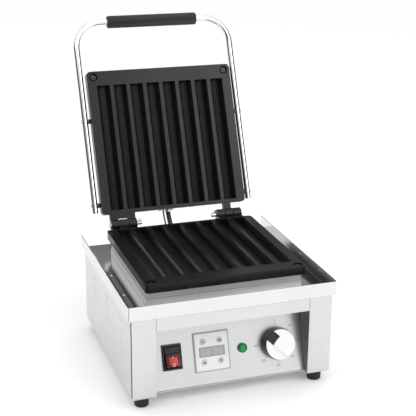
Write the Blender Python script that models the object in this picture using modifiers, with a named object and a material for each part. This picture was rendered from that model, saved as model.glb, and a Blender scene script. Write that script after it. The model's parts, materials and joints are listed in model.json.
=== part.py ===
"""Hinged twin-plate contact grill for stick batter and sausages: eight fluted grooves in each plate.

Metres, +Z up, +X to the operator's right, +Y to the back. The lid stands open, as it rests on its stop.
The design is laid out from the drip pan's front edge (y = 0) and the underside of the body (z = 0), and
the frame empty then carries it so that the origin is under the middle of the whole grill, on the bench.
"""
import math

import bmesh
import bpy
from mathutils import Matrix, Vector

# ---------------------------------------------------------------- driving dimensions
GAP = 0.0003             # clearance between pieces that touch
RUNNING_FIT = 0.0001     # radial clearance of a pin or spindle in its hole
SHEET = 0.0012           # stainless sheet

PAN_W = 0.310            # drip pan, over its side walls
PAN_D = 0.298            # drip pan, front to back
PAN_WALL = 0.022         # height of its walls
PAN_RELIEF = 0.0015      # corner relief of its bends
SIDE_OVERHANG = 0.0052   # pan past the body on each side
FRONT_OVERHANG = 0.0020  # pan past the body at the front

BODY_D = 0.2935
BODY_H = 0.1205          # underside of the body to the underside of the pan
PILLAR_W = 0.0350
SIDE_SLIT = 0.0058       # shadow gap between a pillar and the front edge of the side panel
BAND_H = 0.0195
PANEL_TILT = math.radians(17.8)
PANEL_FOOT_Y = 0.0105    # setback of the control panel's foot behind the pillars' faces

FOOT_H = 0.0170
FOOT_R = 0.0110
FOOT_INSET_X = 0.0170
FOOT_INSET_Y = 0.0165

LOUVRE_LEN = 0.0220
LOUVRE_H = 0.0034
LOUVRE_PITCH_Z = 0.0162
LOUVRE_PITCH_Y = 0.0790
LOUVRE_MID_Y = 0.1510
LOUVRE_MID_Z = 0.0784

PLATE_W = 0.2423
PLATE_D = 0.2317
LOWER_T = 0.0125
UPPER_T = 0.0140
PLATE_FRONT = 0.0308     # plates behind the pan's front edge
PLATE_TOP = 0.1587       # cooking face of the lower plate
PLATE_GAP = 0.0005       # between the two faces when the lid is shut
PLATE_CORNER = 0.0060
GROOVES = 8
GROOVE_PITCH = 0.0274
STAR_OUTER = 0.01085     # six-pointed stick: radius over its points
STAR_SIDE = 0.0087       # over the ribs between a groove's sides and its lower points
STAR_INNER = 0.0075      # and over the rib in its middle
STAR_LIFT = 0.0003       # side points of the star over the cooking face
BORDER_FRONT = 0.0235
BORDER_BACK = 0.0062
SCREW_FROM_FRONT = 0.0098
SCREW_FROM_SIDE = 0.0106
SCREW_HEAD_R = 0.0047
SCREW_R = 0.0025
COUNTERBORE_R = 0.0066
COUNTERBORE_DEPTH = 0.0055

HINGE_BACK = 0.0179      # hinge axis behind the plates' back edge
HINGE_X = 0.0885
BARREL_R = 0.0085
KNUCKLE_W = 0.0130
KNUCKLE_GAP = 0.0012
WEB_CLEARANCE = 0.0012   # between a hinge web and the other plate's knuckle
PIN_R = 0.0032
PIN_HEAD_R = 0.0056
PIN_HEAD_T = 0.0026
PIN_TAIL = 0.0095
COTTER_R = 0.0008
COTTER_EYE_R = 0.0026
LID_OPEN = math.radians(113.3)

COVER_INSET = 0.0098     # lid cover inside the plate's sides
COVER_FROM_BACK = 0.0032
COVER_D = 0.2120
COVER_H = 0.0220
COVER_CORNER = 0.0030
ELEMENT_R = 0.0033
ELEMENT_LANE = 0.0100    # run across behind the tails
INSULATION_T = 0.0036

HANDLE_R = 0.0050
HANDLE_X = 0.1302        # centre line of each leg
HANDLE_BACK = 0.0101     # legs behind the upper plate's face
HANDLE_REACH = 0.3134    # grip's centre line from the plate's back edge
HANDLE_TAIL = 0.0045     # lower end of the legs from the plate's back edge
HANDLE_BEND = 0.0430
GRIP_LEN = 0.1520
GRIP_R = 0.0100
SPACER_R = 0.0038
SPACER_FROM_BACK = (0.0166, 0.1529)
BOLT_R = 0.0020
BOLT_HEAD_R = 0.0028
BOLT_HEAD_T = 0.0010
BOLT_DEPTH = 0.0070

FRAME_W = 0.2354         # support frame and element housing under the lower plate
FRAME_FRONT = 0.0422
FRAME_BACK = 0.2500
FRAME_TOP = 0.1326
HOUSING_STEP = 0.0012
EAR = 0.0150

CONDUIT_R = 0.0039
CONDUIT_X = -0.0060
GLAND_R = 0.0075
GLAND_H = 0.0060
GLAND_Y = 0.2880
CLAMP_X = -0.0095
CLAMP_W = 0.0290
CLAMP_H = 0.0130
CLAMP_T = 0.0025
COLLAR_LEN = 0.0060

KNOB_X, KNOB_UP = 0.0748, 0.0466
KNOB_R = 0.0240
KNOB_SKIRT = 0.0150
KNOB_LIFT = 0.0012       # knob's underside above the panel
KNOB_CAP_R = 0.0225
KNOB_CAP_T = 0.0014
KNOB_BAR_W = 0.0160
KNOB_BAR_H = 0.0050
KNOB_NOTCH_R = 0.0110    # tail of the bar, from the axis
KNOB_NOTCH_SWEEP_R = 0.0290
KNOB_TURNED = math.radians(135.0)   # pointer clockwise from straight up, as it rests
SPINDLE_R = 0.0030
THERMOSTAT_W = 0.0380
THERMOSTAT_T = 0.0220

SWITCH_X, SWITCH_UP = -0.0853, 0.0481
SWITCH_W, SWITCH_H = 0.0285, 0.0370
SWITCH_RIM = 0.0030
SWITCH_BODY_W, SWITCH_BODY_H, SWITCH_BODY_T = 0.0254, 0.0336, 0.0220
ROCKER_W, ROCKER_H = 0.0216, 0.0284
ROCKER_TILT = math.radians(9.0)

TIMER_X, TIMER_UP = -0.0257, 0.0486
TIMER_W, TIMER_H = 0.0532, 0.0572
TIMER_LIP = 0.0021
TIMER_T = 0.0140
DISPLAY_W, DISPLAY_H = 0.0385, 0.0140
BUTTON_R = 0.0042
BUTTON_DX, BUTTON_DUP = 0.0125, 0.0148
BUTTON_PROUD = 0.0012

LAMP_X, LAMP_UP = 0.0212, 0.0470
LAMP_R = 0.0072
LAMP_PROUD = 0.0052

CORD_GLAND_X, CORD_GLAND_Z = 0.0850, 0.0350
GLAND_NECK_R = 0.0085

# ---------------------------------------------------------------- derived places
BODY_W = PAN_W - 2 * SIDE_OVERHANG
BODY_FRONT = FRONT_OVERHANG
BODY_BACK = BODY_FRONT + BODY_D
FLOOR_TOP = BODY_H + SHEET
BASE_TOP = SHEET
PLATE_BACK = PLATE_FRONT + PLATE_D
PLATE_BOTTOM = PLATE_TOP - LOWER_T
HINGE_Y = PLATE_BACK + HINGE_BACK
HINGE_Z = PLATE_TOP + PLATE_GAP / 2
FACE = PLATE_GAP / 2     # each cooking face from the hinge axis's level, with the lid shut
PILLAR_INNER = BODY_W / 2 - PILLAR_W
BAND_BOTTOM = BODY_H - BAND_H
PANEL_Y = BODY_FRONT + PANEL_FOOT_Y
PANEL_UP_TOP = (BAND_BOTTOM - GAP) / math.cos(PANEL_TILT)
PANEL_TOP_Y = PANEL_Y + BAND_BOTTOM * math.tan(PANEL_TILT)
COVER_LOW = FACE + UPPER_T + GAP
COVER_HIGH = COVER_LOW + COVER_H
COVER_BACK_Y = -HINGE_BACK - COVER_FROM_BACK
COVER_FRONT_Y = COVER_BACK_Y - COVER_D
COVER_HALF = PLATE_W / 2 - COVER_INSET
HOUSING_TOP = PLATE_BOTTOM - GAP

# ---------------------------------------------------------------- collections and empties
PARTS = "contact_grill"
TOOLS = "contact_grill_cutters"

STEEL = ((0.62, 0.62, 0.61), 0.32, 1.0)
POLISHED = ((0.70, 0.70, 0.70), 0.12, 1.0)
CHROME = ((0.80, 0.80, 0.81), 0.07, 1.0)
CAST = ((0.022, 0.022, 0.024), 0.48, 0.0)
BLACK = ((0.015, 0.015, 0.016), 0.35, 0.0)
RUBBER = ((0.012, 0.012, 0.012), 0.75, 0.0)
WHITE = ((0.80, 0.81, 0.81), 0.40, 0.0)
GREY = ((0.33, 0.34, 0.35), 0.30, 0.0)
WOOL = ((0.75, 0.73, 0.68), 0.90, 0.0)
RED = ((0.45, 0.02, 0.02), 0.25, 0.0)
GREEN = ((0.01, 0.30, 0.10), 0.20, 0.0)


def clear_scene():
    """Remove what the start-up file holds."""
    for obj in list(bpy.data.objects):
        bpy.data.objects.remove(obj, do_unlink=True)
    for collection in list(bpy.data.collections):
        bpy.data.collections.remove(collection)


def collection(name):
    """The named collection, made when it is first asked for."""
    found = bpy.data.collections.get(name)
    if found is None:
        found = bpy.data.collections.new(name)
        bpy.context.scene.collection.children.link(found)
    return found


def empty(name, parent, location, turn_x=0.0, turn_y=0.0):
    """An empty that carries a group of pieces."""
    obj = bpy.data.objects.new(name, None)
    obj.empty_display_size = 0.02
    obj.location = location
    obj.rotation_euler = (turn_x, turn_y, 0.0)
    obj.parent = parent
    collection(PARTS).objects.link(obj)
    return obj


def material(name, finish):
    """A Principled material of one colour, roughness and metallic value."""
    colour, roughness, metallic = finish
    made = bpy.data.materials.new(name)
    made.use_nodes = True
    shader = made.node_tree.nodes["Principled BSDF"]
    shader.inputs["Base Color"].default_value = (*colour, 1.0)
    shader.inputs["Roughness"].default_value = roughness
    shader.inputs["Metallic"].default_value = metallic
    return made


def piece(name, mesh, parent, finish=None):
    """A named object from a mesh: a part with a finish, or a cutter or joining tool without one."""
    obj = bpy.data.objects.new(name, mesh)
    obj.parent = parent
    if finish is None:
        collection(TOOLS).objects.link(obj)
        obj.hide_render = True
        obj.display_type = "WIRE"
        return obj
    collection(PARTS).objects.link(obj)
    mesh.materials.clear()
    mesh.materials.append(material(name, finish))
    mesh.shade_smooth()
    mesh.set_sharp_from_angle(angle=math.radians(35))
    return obj


# ---------------------------------------------------------------- shapes
def mesh_of(bm, name):
    """Write a bmesh to a new mesh."""
    mesh = bpy.data.meshes.new(name)
    bm.to_mesh(mesh)
    bm.free()
    return mesh


def box_mesh(name, low, high):
    """A box between two corners."""
    bm = bmesh.new()
    bmesh.ops.create_cube(bm, size=1.0)
    low, high = Vector(low), Vector(high)
    size = high - low
    bmesh.ops.scale(bm, vec=size, verts=bm.verts)
    bmesh.ops.translate(bm, vec=(low + high) / 2, verts=bm.verts)
    return mesh_of(bm, name)


def rod_mesh(name, start, end, radius, end_radius=None, sides=24):
    """A cylinder or cone frustum from one point to another."""
    start, end = Vector(start), Vector(end)
    along = end - start
    bm = bmesh.new()
    bmesh.ops.create_cone(bm, cap_ends=True, segments=sides, radius1=radius,
                          radius2=radius if end_radius is None else end_radius, depth=along.length)
    turn = along.to_track_quat("Z", "X").to_matrix().to_4x4()
    bmesh.ops.transform(bm, matrix=Matrix.Translation((start + end) / 2) @ turn, verts=bm.verts)
    return mesh_of(bm, name)


def curve_mesh(name, curve):
    """The welded mesh of a curve, which is removed."""
    obj = bpy.data.objects.new(name, curve)
    bpy.context.scene.collection.objects.link(obj)
    bpy.context.view_layer.update()
    graph = bpy.context.evaluated_depsgraph_get()
    mesh = bpy.data.meshes.new_from_object(obj.evaluated_get(graph))
    bm = bmesh.new()
    bm.from_mesh(mesh)
    bmesh.ops.remove_doubles(bm, verts=bm.verts, dist=0.00001)
    bmesh.ops.recalc_face_normals(bm, faces=bm.faces)
    bm.to_mesh(mesh)
    bm.free()
    bpy.data.objects.remove(obj, do_unlink=True)
    bpy.data.curves.remove(curve)
    return mesh


def outline_mesh(name, outline, low, high, axis):
    """A flat outline given thickness along an axis: "X" takes (y, z) points, "Y" (x, z), "Z" (x, y)."""
    curve = bpy.data.curves.new(name, "CURVE")
    curve.dimensions = "2D"
    curve.fill_mode = "BOTH"
    curve.extrude = (high - low) / 2
    spline = curve.splines.new("POLY")
    spline.points.add(len(outline) - 1)
    for point, (u, v) in zip(spline.points, outline):
        point.co = (u, v, 0.0, 1.0)
    spline.use_cyclic_u = True
    mesh = curve_mesh(name, curve)
    columns = {"X": ((0, 0, 1), (1, 0, 0), (0, 1, 0)),
               "Y": ((1, 0, 0), (0, 0, -1), (0, 1, 0)),
               "Z": ((1, 0, 0), (0, 1, 0), (0, 0, 1))}[axis]
    turn = Matrix(columns).to_4x4()
    middle = Vector([(low + high) / 2 if letter == axis else 0.0 for letter in "XYZ"])
    mesh.transform(Matrix.Translation(middle) @ turn)
    return mesh


def tube_mesh(name, points, radius, sides_level=3):
    """A round solid along a list of points."""
    curve = bpy.data.curves.new(name, "CURVE")
    curve.dimensions = "3D"
    curve.bevel_depth = radius
    curve.bevel_resolution = sides_level
    curve.use_fill_caps = True
    spline = curve.splines.new("POLY")
    spline.points.add(len(points) - 1)
    for knot, point in zip(spline.points, points):
        knot.co = (*point, 1.0)
    return curve_mesh(name, curve)


def turned_mesh(name, profile, base, axis, sides=28):
    """A profile of (radius, distance) points turned round an axis from a base point."""
    bm = bmesh.new()
    verts = [bm.verts.new((radius, 0.0, distance)) for radius, distance in profile]
    edges = [bm.edges.new(pair) for pair in zip(verts, verts[1:])]
    bmesh.ops.spin(bm, geom=verts + edges, cent=(0, 0, 0), axis=(0, 0, 1), angle=2 * math.pi,
                   steps=sides, use_merge=True, use_duplicate=False)
    bmesh.ops.remove_doubles(bm, verts=bm.verts, dist=0.00001)
    bmesh.ops.recalc_face_normals(bm, faces=bm.faces)
    turn = Vector(axis).to_track_quat("Z", "X").to_matrix().to_4x4()
    bmesh.ops.transform(bm, matrix=Matrix.Translation(base) @ turn, verts=bm.verts)
    return mesh_of(bm, name)


def arc(centre, radius, start, end, steps):
    """Points of an arc in a plane, angles in radians."""
    turns = [start + (end - start) * step / steps for step in range(steps + 1)]
    return [(centre[0] + radius * math.cos(turn), centre[1] + radius * math.sin(turn)) for turn in turns]


def rounded_outline(low, high, radius, steps=3):
    """A rectangle with round corners, anticlockwise."""
    corners = (((high[0] - radius, high[1] - radius), 0.0), ((low[0] + radius, high[1] - radius), 0.5),
               ((low[0] + radius, low[1] + radius), 1.0), ((high[0] - radius, low[1] + radius), 1.5))
    points = []
    for centre, half_turns in corners:
        points += arc(centre, radius, half_turns * math.pi, (half_turns + 0.5) * math.pi, steps)
    return points


def join(target, mesh, name):
    """Join a mesh to a part."""
    tool = piece(name, mesh, target.parent)
    modifier = target.modifiers.new(name, "BOOLEAN")
    modifier.operation = "UNION"
    modifier.object = tool


def cut(target, mesh, name):
    """Cut a mesh out of a part."""
    tool = piece(name, mesh, target.parent)
    modifier = target.modifiers.new(name, "BOOLEAN")
    modifier.operation = "DIFFERENCE"
    modifier.object = tool


# ---------------------------------------------------------------- body
def base_plate(frame):
    """Bottom sheet that the panels stand on and the feet screw to, notched back to the panel's foot."""
    half, notch = BODY_W / 2, PILLAR_INNER - GAP
    outline = [(-half, BODY_FRONT), (-notch, BODY_FRONT), (-notch, PANEL_Y), (notch, PANEL_Y),
               (notch, BODY_FRONT), (half, BODY_FRONT), (half, BODY_BACK), (-half, BODY_BACK)]
    piece("base_plate", outline_mesh("base_plate", outline, 0.0, SHEET, "Z"), frame, STEEL)


def feet(frame):
    """Four rubber feet with a rounded lower edge."""
    fillet = FOOT_R * 0.22
    sole = FOOT_R * 0.93
    profile = [(0.0, -GAP), (FOOT_R, -GAP)]
    profile += arc((sole - fillet, fillet - FOOT_H), fillet, 0.0, -math.pi / 2, 3) + [(0.0, -FOOT_H)]
    depths = {"front": BODY_FRONT + FOOT_INSET_Y, "rear": BODY_BACK - FOOT_INSET_Y}
    for side, sign in (("left", -1), ("right", 1)):
        for end, depth in depths.items():
            name = f"{side}_{end}_foot"
            place = (sign * (BODY_W / 2 - FOOT_INSET_X), depth, 0.0)
            piece(name, turned_mesh(name, profile, place, (0, 0, 1), sides=24), frame, RUBBER)


def side_panels(frame):
    """Side sheets with three columns of three cooling louvres."""
    for side, sign in (("left", -1), ("right", 1)):
        outer, inner = sorted((sign * BODY_W / 2, sign * (BODY_W / 2 - SHEET)))
        name = f"{side}_side_panel"
        start = BODY_FRONT + SHEET + SIDE_SLIT
        mesh = box_mesh(name, (outer, start, BASE_TOP + GAP), (inner, BODY_BACK, BODY_H - GAP))
        panel = piece(name, mesh, frame, STEEL)
        for column in (-1, 0, 1):
            for row in (-1, 0, 1):
                y = LOUVRE_MID_Y + column * LOUVRE_PITCH_Y
                z = LOUVRE_MID_Z + row * LOUVRE_PITCH_Z
                slot = rounded_outline((y - LOUVRE_LEN / 2, z - LOUVRE_H / 2),
                                       (y + LOUVRE_LEN / 2, z + LOUVRE_H / 2), LOUVRE_H * 0.499, 2)
                label = f"{side}_louvre_{column + 1}{row + 1}"
                cut(panel, outline_mesh(label, slot, outer - SHEET, inner + SHEET, "X"), label)


def rear_panel(frame):
    """Rear sheet with the hole of the cord gland."""
    half = BODY_W / 2 - SHEET - GAP
    mesh = box_mesh("rear_panel", (-half, BODY_BACK - SHEET, BASE_TOP + GAP), (half, BODY_BACK, BODY_H - GAP))
    panel = piece("rear_panel", mesh, frame, STEEL)
    hole = rod_mesh("cord_gland_hole", (CORD_GLAND_X, BODY_BACK - 0.01, CORD_GLAND_Z),
                    (CORD_GLAND_X, BODY_BACK + 0.01, CORD_GLAND_Z), GLAND_NECK_R + GAP)
    cut(panel, hole, "cord_gland_hole")


def cord_gland(frame):
    """Strain relief of the supply cord in the rear panel: threaded stub, flange, nut and cord end."""
    profile = [(0.0, -0.0120), (GLAND_NECK_R, -0.0120), (GLAND_NECK_R, GAP), (0.0125, GAP), (0.0125, 0.0060),
               (0.0100, 0.0140), (0.0060, 0.0160), (0.0042, 0.0160), (0.0042, 0.0240), (0.0, 0.0240)]
    place = (CORD_GLAND_X, BODY_BACK, CORD_GLAND_Z)
    piece("cord_gland", turned_mesh("cord_gland", profile, place, (0, 1, 0)), frame, BLACK)


def front_pillars(frame):
    """Angle posts either side of the control panel: a front face and the inner wall of the recess."""
    back = PANEL_TOP_Y + 0.003
    for side, sign in (("left", -1), ("right", 1)):
        inner = sign * PILLAR_INNER
        outer = sign * BODY_W / 2
        outline = [(inner, BODY_FRONT), (outer, BODY_FRONT), (outer, BODY_FRONT + SHEET),
                   (inner + sign * SHEET, BODY_FRONT + SHEET), (inner + sign * SHEET, back), (inner, back)]
        name = f"{side}_front_pillar"
        mesh = outline_mesh(name, outline, BASE_TOP + GAP, BODY_H - GAP, "Z")
        piece(name, mesh, frame, STEEL)


def front_band(frame):
    """Band over the control panel, bent back under itself to the panel's upper edge."""
    half = PILLAR_INNER - GAP
    outline = [(BODY_FRONT, BAND_BOTTOM), (PANEL_TOP_Y + 0.003, BAND_BOTTOM),
               (PANEL_TOP_Y + 0.003, BAND_BOTTOM + SHEET), (BODY_FRONT + SHEET, BAND_BOTTOM + SHEET),
               (BODY_FRONT + SHEET, BODY_H - GAP), (BODY_FRONT, BODY_H - GAP)]
    piece("front_band", outline_mesh("front_band", outline, -half, half, "X"), frame, STEEL)


def control_panel(panel):
    """Sloping control panel with its cut-outs, in the panel's own frame (y inwards, z up the slope)."""
    half = PILLAR_INNER - GAP
    foot = (BASE_TOP + GAP) / math.cos(PANEL_TILT) + SHEET * math.tan(PANEL_TILT)
    mesh = box_mesh("control_panel", (-half, 0.0, foot), (half, SHEET, PANEL_UP_TOP))
    sheet = piece("control_panel", mesh, panel, STEEL)
    through = (-SHEET, 2 * SHEET)
    windows = {"switch_window": (SWITCH_X, SWITCH_UP, SWITCH_BODY_W, SWITCH_BODY_H),
               "timer_window": (TIMER_X, TIMER_UP, *timer_neck())}
    for label, (x, up, width, height) in windows.items():
        low = (x - width / 2 - GAP, through[0], up - height / 2 - GAP)
        high = (x + width / 2 + GAP, through[1], up + height / 2 + GAP)
        cut(sheet, box_mesh(label, low, high), label)
    holes = {"lamp_hole": (LAMP_X, LAMP_UP, lamp_stem_radius() + GAP),
             "spindle_hole": (KNOB_X, KNOB_UP, SPINDLE_R + 2 * GAP)}
    for label, (x, up, radius) in holes.items():
        cut(sheet, rod_mesh(label, (x, through[0], up), (x, through[1], up), radius), label)


# ---------------------------------------------------------------- controls
def timer_neck():
    """Width and height of the timer housing where it passes the panel."""
    return TIMER_W - 0.0076, TIMER_H - 0.0072


def timer_button_places():
    """Name, x and slope position of each timer button."""
    return {"start_button": (-1, 1), "set_button": (1, 1), "up_button": (-1, -1), "down_button": (1, -1)}


def timer(panel):
    """Timer: housing with a front lip, face, display and four push buttons."""
    neck_w, neck_h = timer_neck()
    lip = -GAP - TIMER_LIP
    wall = SHEET

    def slab(name, width, height, near, far):
        low = (TIMER_X - width / 2, near, TIMER_UP - height / 2)
        return box_mesh(name, low, (TIMER_X + width / 2, far, TIMER_UP + height / 2))

    housing = piece("timer_housing", slab("timer_housing", TIMER_W, TIMER_H, lip, -GAP), panel, GREY)
    join(housing, slab("timer_neck", neck_w, neck_h, lip / 2, TIMER_T), "timer_neck")
    face_w, face_h = TIMER_W - 0.0030, TIMER_H - 0.0030
    cut(housing, slab("timer_recess", face_w, face_h, lip - wall, lip + 0.0014), "timer_recess")
    cut(housing, slab("timer_pocket", neck_w - 2 * wall, neck_h - 2 * wall, lip - wall, TIMER_T - wall),
        "timer_pocket")

    face = piece("timer_face", slab("timer_face", face_w - 2 * GAP, face_h - 2 * GAP, lip, lip + 0.0011),
                 panel, WHITE)
    cut(face, slab("display_window", DISPLAY_W + 2 * GAP, DISPLAY_H + 2 * GAP, lip - wall, TIMER_T),
        "display_window")
    piece("timer_display", slab("timer_display", DISPLAY_W, DISPLAY_H, lip + 0.0002, 0.0040), panel, GREY)
    for name, (across, up) in timer_button_places().items():
        x, z = TIMER_X + across * BUTTON_DX, TIMER_UP + up * BUTTON_DUP
        hole = rod_mesh(f"{name}_hole", (x, lip - wall, z), (x, TIMER_T / 2, z), BUTTON_R + GAP)
        cut(face, hole, f"{name}_hole")
        carrier = empty(f"{name}_travel", panel, (x, 0.0, z))
        cap = rod_mesh(name, (0, 0.0045, 0), (0, lip - BUTTON_PROUD, 0), BUTTON_R, sides=20)
        piece(name, cap, carrier, WHITE)


def switch(panel):
    """Rocker switch: bezel and body in one moulding, and the rocker on its own pivot."""
    low = (SWITCH_X - SWITCH_W / 2, -GAP - SWITCH_RIM, SWITCH_UP - SWITCH_H / 2)
    high = (SWITCH_X + SWITCH_W / 2, -GAP, SWITCH_UP + SWITCH_H / 2)
    bezel = piece("switch_bezel", box_mesh("switch_bezel", low, high), panel, BLACK)

    def core(name, width, height, near, far):
        start = (SWITCH_X - width / 2, near, SWITCH_UP - height / 2)
        return box_mesh(name, start, (SWITCH_X + width / 2, far, SWITCH_UP + height / 2))

    join(bezel, core("switch_body", SWITCH_BODY_W, SWITCH_BODY_H, -SWITCH_RIM / 2, SWITCH_BODY_T),
         "switch_body")
    pocket = core("switch_pocket", ROCKER_W + 4 * GAP, ROCKER_H + 0.0022, -2 * SWITCH_RIM, 0.0050)
    cut(bezel, pocket, "switch_pocket")
    pivot = empty("rocker_pivot", panel, (SWITCH_X, -0.0010, SWITCH_UP), turn_x=-ROCKER_TILT)
    half = ROCKER_H / 2
    outline = [(-0.0035, 0.0), (-0.0062, half), (0.0010, half), (0.0022, 0.0), (0.0010, -half), (-0.0062, -half)]
    mesh = outline_mesh("switch_rocker", outline, -ROCKER_W / 2, ROCKER_W / 2, "X")
    piece("switch_rocker", mesh, pivot, RED)


def lamp_stem_radius():
    """Radius of the pilot lamp's stem in the panel."""
    return LAMP_R * 0.62


def pilot_lamp(panel):
    """Pilot lamp: domed lens with a stem through the panel, and the holder behind."""
    stem = lamp_stem_radius()
    dome = [(LAMP_R * math.cos(turn), LAMP_PROUD * (0.45 + 0.55 * math.sin(turn)))
            for turn in (0.0, 0.35, 0.75, 1.15)]
    profile = [(0.0, -0.0100), (stem, -0.0100), (stem, GAP), (LAMP_R, GAP), *dome, (0.0, LAMP_PROUD)]
    mesh = turned_mesh("lamp_lens", profile, (LAMP_X, 0, LAMP_UP), (0, -1, 0), sides=24)
    piece("lamp_lens", mesh, panel, GREEN)
    holder = [(stem + GAP, 0.0), (LAMP_R, 0.0), (LAMP_R, 0.022), (0.0, 0.022), (0.0, 0.0110),
              (stem + GAP, 0.0110), (stem + GAP, 0.0)]
    place = (LAMP_X, SHEET + GAP, LAMP_UP)
    piece("lamp_holder", turned_mesh("lamp_holder", holder, place, (0, 1, 0), sides=20), panel, BLACK)


def thermostat(panel):
    """Thermostat behind the panel, its spindle, and the knob with a grip bar across it."""
    half = THERMOSTAT_W / 2
    front = SHEET + GAP
    mesh = box_mesh("thermostat_body", (KNOB_X - half, front, KNOB_UP - half),
                    (KNOB_X + half, front + THERMOSTAT_T, KNOB_UP + half))
    body = piece("thermostat_body", mesh, panel, STEEL)
    bore = rod_mesh("thermostat_bore", (KNOB_X, 0, KNOB_UP), (KNOB_X, 0.0130, KNOB_UP),
                    SPINDLE_R + RUNNING_FIT, sides=32)
    cut(body, bore, "thermostat_bore")
    turning = empty("knob_axis", panel, (KNOB_X, 0.0, KNOB_UP), turn_y=KNOB_TURNED)
    spindle = rod_mesh("thermostat_spindle", (0, 0.0120, 0), (0, -0.0130, 0), SPINDLE_R, sides=32)
    piece("thermostat_spindle", spindle, turning, STEEL)
    skirt = KNOB_LIFT + KNOB_SKIRT
    profile = [(0.0, KNOB_LIFT), (KNOB_R, KNOB_LIFT), (KNOB_R, KNOB_LIFT + 0.003), (KNOB_R * 0.965, skirt - 0.0010),
               (KNOB_R * 0.93, skirt), (0.0, skirt)]
    mesh = turned_mesh("thermostat_knob", profile, (0, 0, 0), (0, -1, 0), sides=40)
    knob = piece("thermostat_knob", mesh, turning, BLACK)
    cut(knob, rod_mesh("knob_bore", (0, 0.001, 0), (0, -0.0134, 0), SPINDLE_R + GAP, sides=20), "knob_bore")
    knob_cap(turning, skirt + GAP)


def knob_cap(turning, foot):
    """Silver cap on the knob: a disc with the grip bar, both cut short at the bar's tail."""
    rim = foot + KNOB_CAP_T
    profile = [(0.0, foot), (KNOB_CAP_R, foot), (KNOB_CAP_R, rim - 0.0004), (KNOB_CAP_R - 0.0005, rim), (0.0, rim)]
    mesh = turned_mesh("knob_cap", profile, (0, 0, 0), (0, -1, 0), sides=40)
    cap = piece("knob_cap", mesh, turning, STEEL)
    top = rim + KNOB_BAR_H
    reach = KNOB_CAP_R * 0.90
    edge = 0.0012
    outline = [(-foot - KNOB_CAP_T / 2, -reach), (-foot - KNOB_CAP_T / 2, reach), (edge - top, reach),
               (-top, reach - edge), (-top, -reach)]
    join(cap, outline_mesh("knob_bar", outline, -KNOB_BAR_W / 2, KNOB_BAR_W / 2, "X"), "knob_bar")
    half = KNOB_BAR_W / 2 + 0.0002
    sweep = math.asin(half / KNOB_NOTCH_SWEEP_R)
    centre = (0.0, KNOB_NOTCH_SWEEP_R - KNOB_NOTCH_R)
    inner = arc(centre, KNOB_NOTCH_SWEEP_R, -math.pi / 2 - sweep, -math.pi / 2 + sweep, 6)
    notch = [(-half, -2 * KNOB_R)] + inner + [(half, -2 * KNOB_R)]
    cut(cap, outline_mesh("knob_notch", notch, -2 * top, 0.0, "Y"), "knob_notch")


# ---------------------------------------------------------------- pan and lower plate
def drip_pan(frame):
    """Folded pan: a floor with left, right and front walls, open at the back."""
    bm = bmesh.new()
    half = PAN_W / 2
    xs = (-half, -half + PAN_RELIEF, half - PAN_RELIEF, half)
    ys = (0.0, PAN_RELIEF, PAN_D)
    grid = [[bm.verts.new((x, y, BODY_H)) for x in xs] for y in ys]
    for row in range(2):
        for column in range(3):
            if row == 0 and column != 1:
                continue
            bm.faces.new((grid[row][column], grid[row][column + 1], grid[row + 1][column + 1],
                          grid[row + 1][column]))
    for vert in [v for v in bm.verts if not v.link_faces]:
        bm.verts.remove(vert)
    bm.normal_update()
    walls = [edge for edge in bm.edges if edge.is_boundary and wall_edge(edge, half)]
    raised = bmesh.ops.extrude_edge_only(bm, edges=walls)["geom"]
    tops = [item for item in raised if isinstance(item, bmesh.types.BMVert)]
    bmesh.ops.translate(bm, vec=(0, 0, PAN_WALL), verts=tops)
    bmesh.ops.recalc_face_normals(bm, faces=bm.faces)
    pan = piece("drip_pan", mesh_of(bm, "drip_pan"), frame, POLISHED)
    upward = max(pan.data.polygons, key=lambda face: face.area).normal.z > 0
    fold = pan.modifiers.new("wall_thickness", "SOLIDIFY")
    fold.thickness = SHEET
    fold.offset = 1.0 if upward else -1.0
    fold.use_even_offset = True
    hole = rod_mesh("pan_wire_hole", (CONDUIT_X, GLAND_Y, BODY_H - 0.01), (CONDUIT_X, GLAND_Y, BODY_H + 0.01),
                    CONDUIT_R)
    cut(pan, hole, "pan_wire_hole")
    for label, x in element_tail_places().items():
        rod = rod_mesh(f"pan_{label}", (x, element_tail_y(), BODY_H - 0.01),
                       (x, element_tail_y(), BODY_H + 0.01), ELEMENT_R + 0.0012)
        cut(pan, rod, f"pan_{label}")


def wall_edge(edge, half):
    """Whether an edge of the pan's floor carries the left, right or front wall."""
    first, second = (vert.co for vert in edge.verts)
    on_side = abs(abs(first.x) - half) < 1e-6 and abs(abs(second.x) - half) < 1e-6
    on_front = first.y < 1e-6 and second.y < 1e-6
    return on_side or on_front


def support_frame(frame):
    """Folded ring on the pan that carries the element housing."""
    half = FRAME_W / 2
    low, high = (-half, FRAME_FRONT, FLOOR_TOP + GAP), (half, FRAME_BACK, FRAME_TOP)
    ring = piece("support_frame", box_mesh("support_frame", low, high), frame, STEEL)
    inner = box_mesh("support_frame_inside", (-half + SHEET, FRAME_FRONT + SHEET, 0.0),
                     (half - SHEET, FRAME_BACK - SHEET, 1.0))
    cut(ring, inner, "support_frame_inside")


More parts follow.
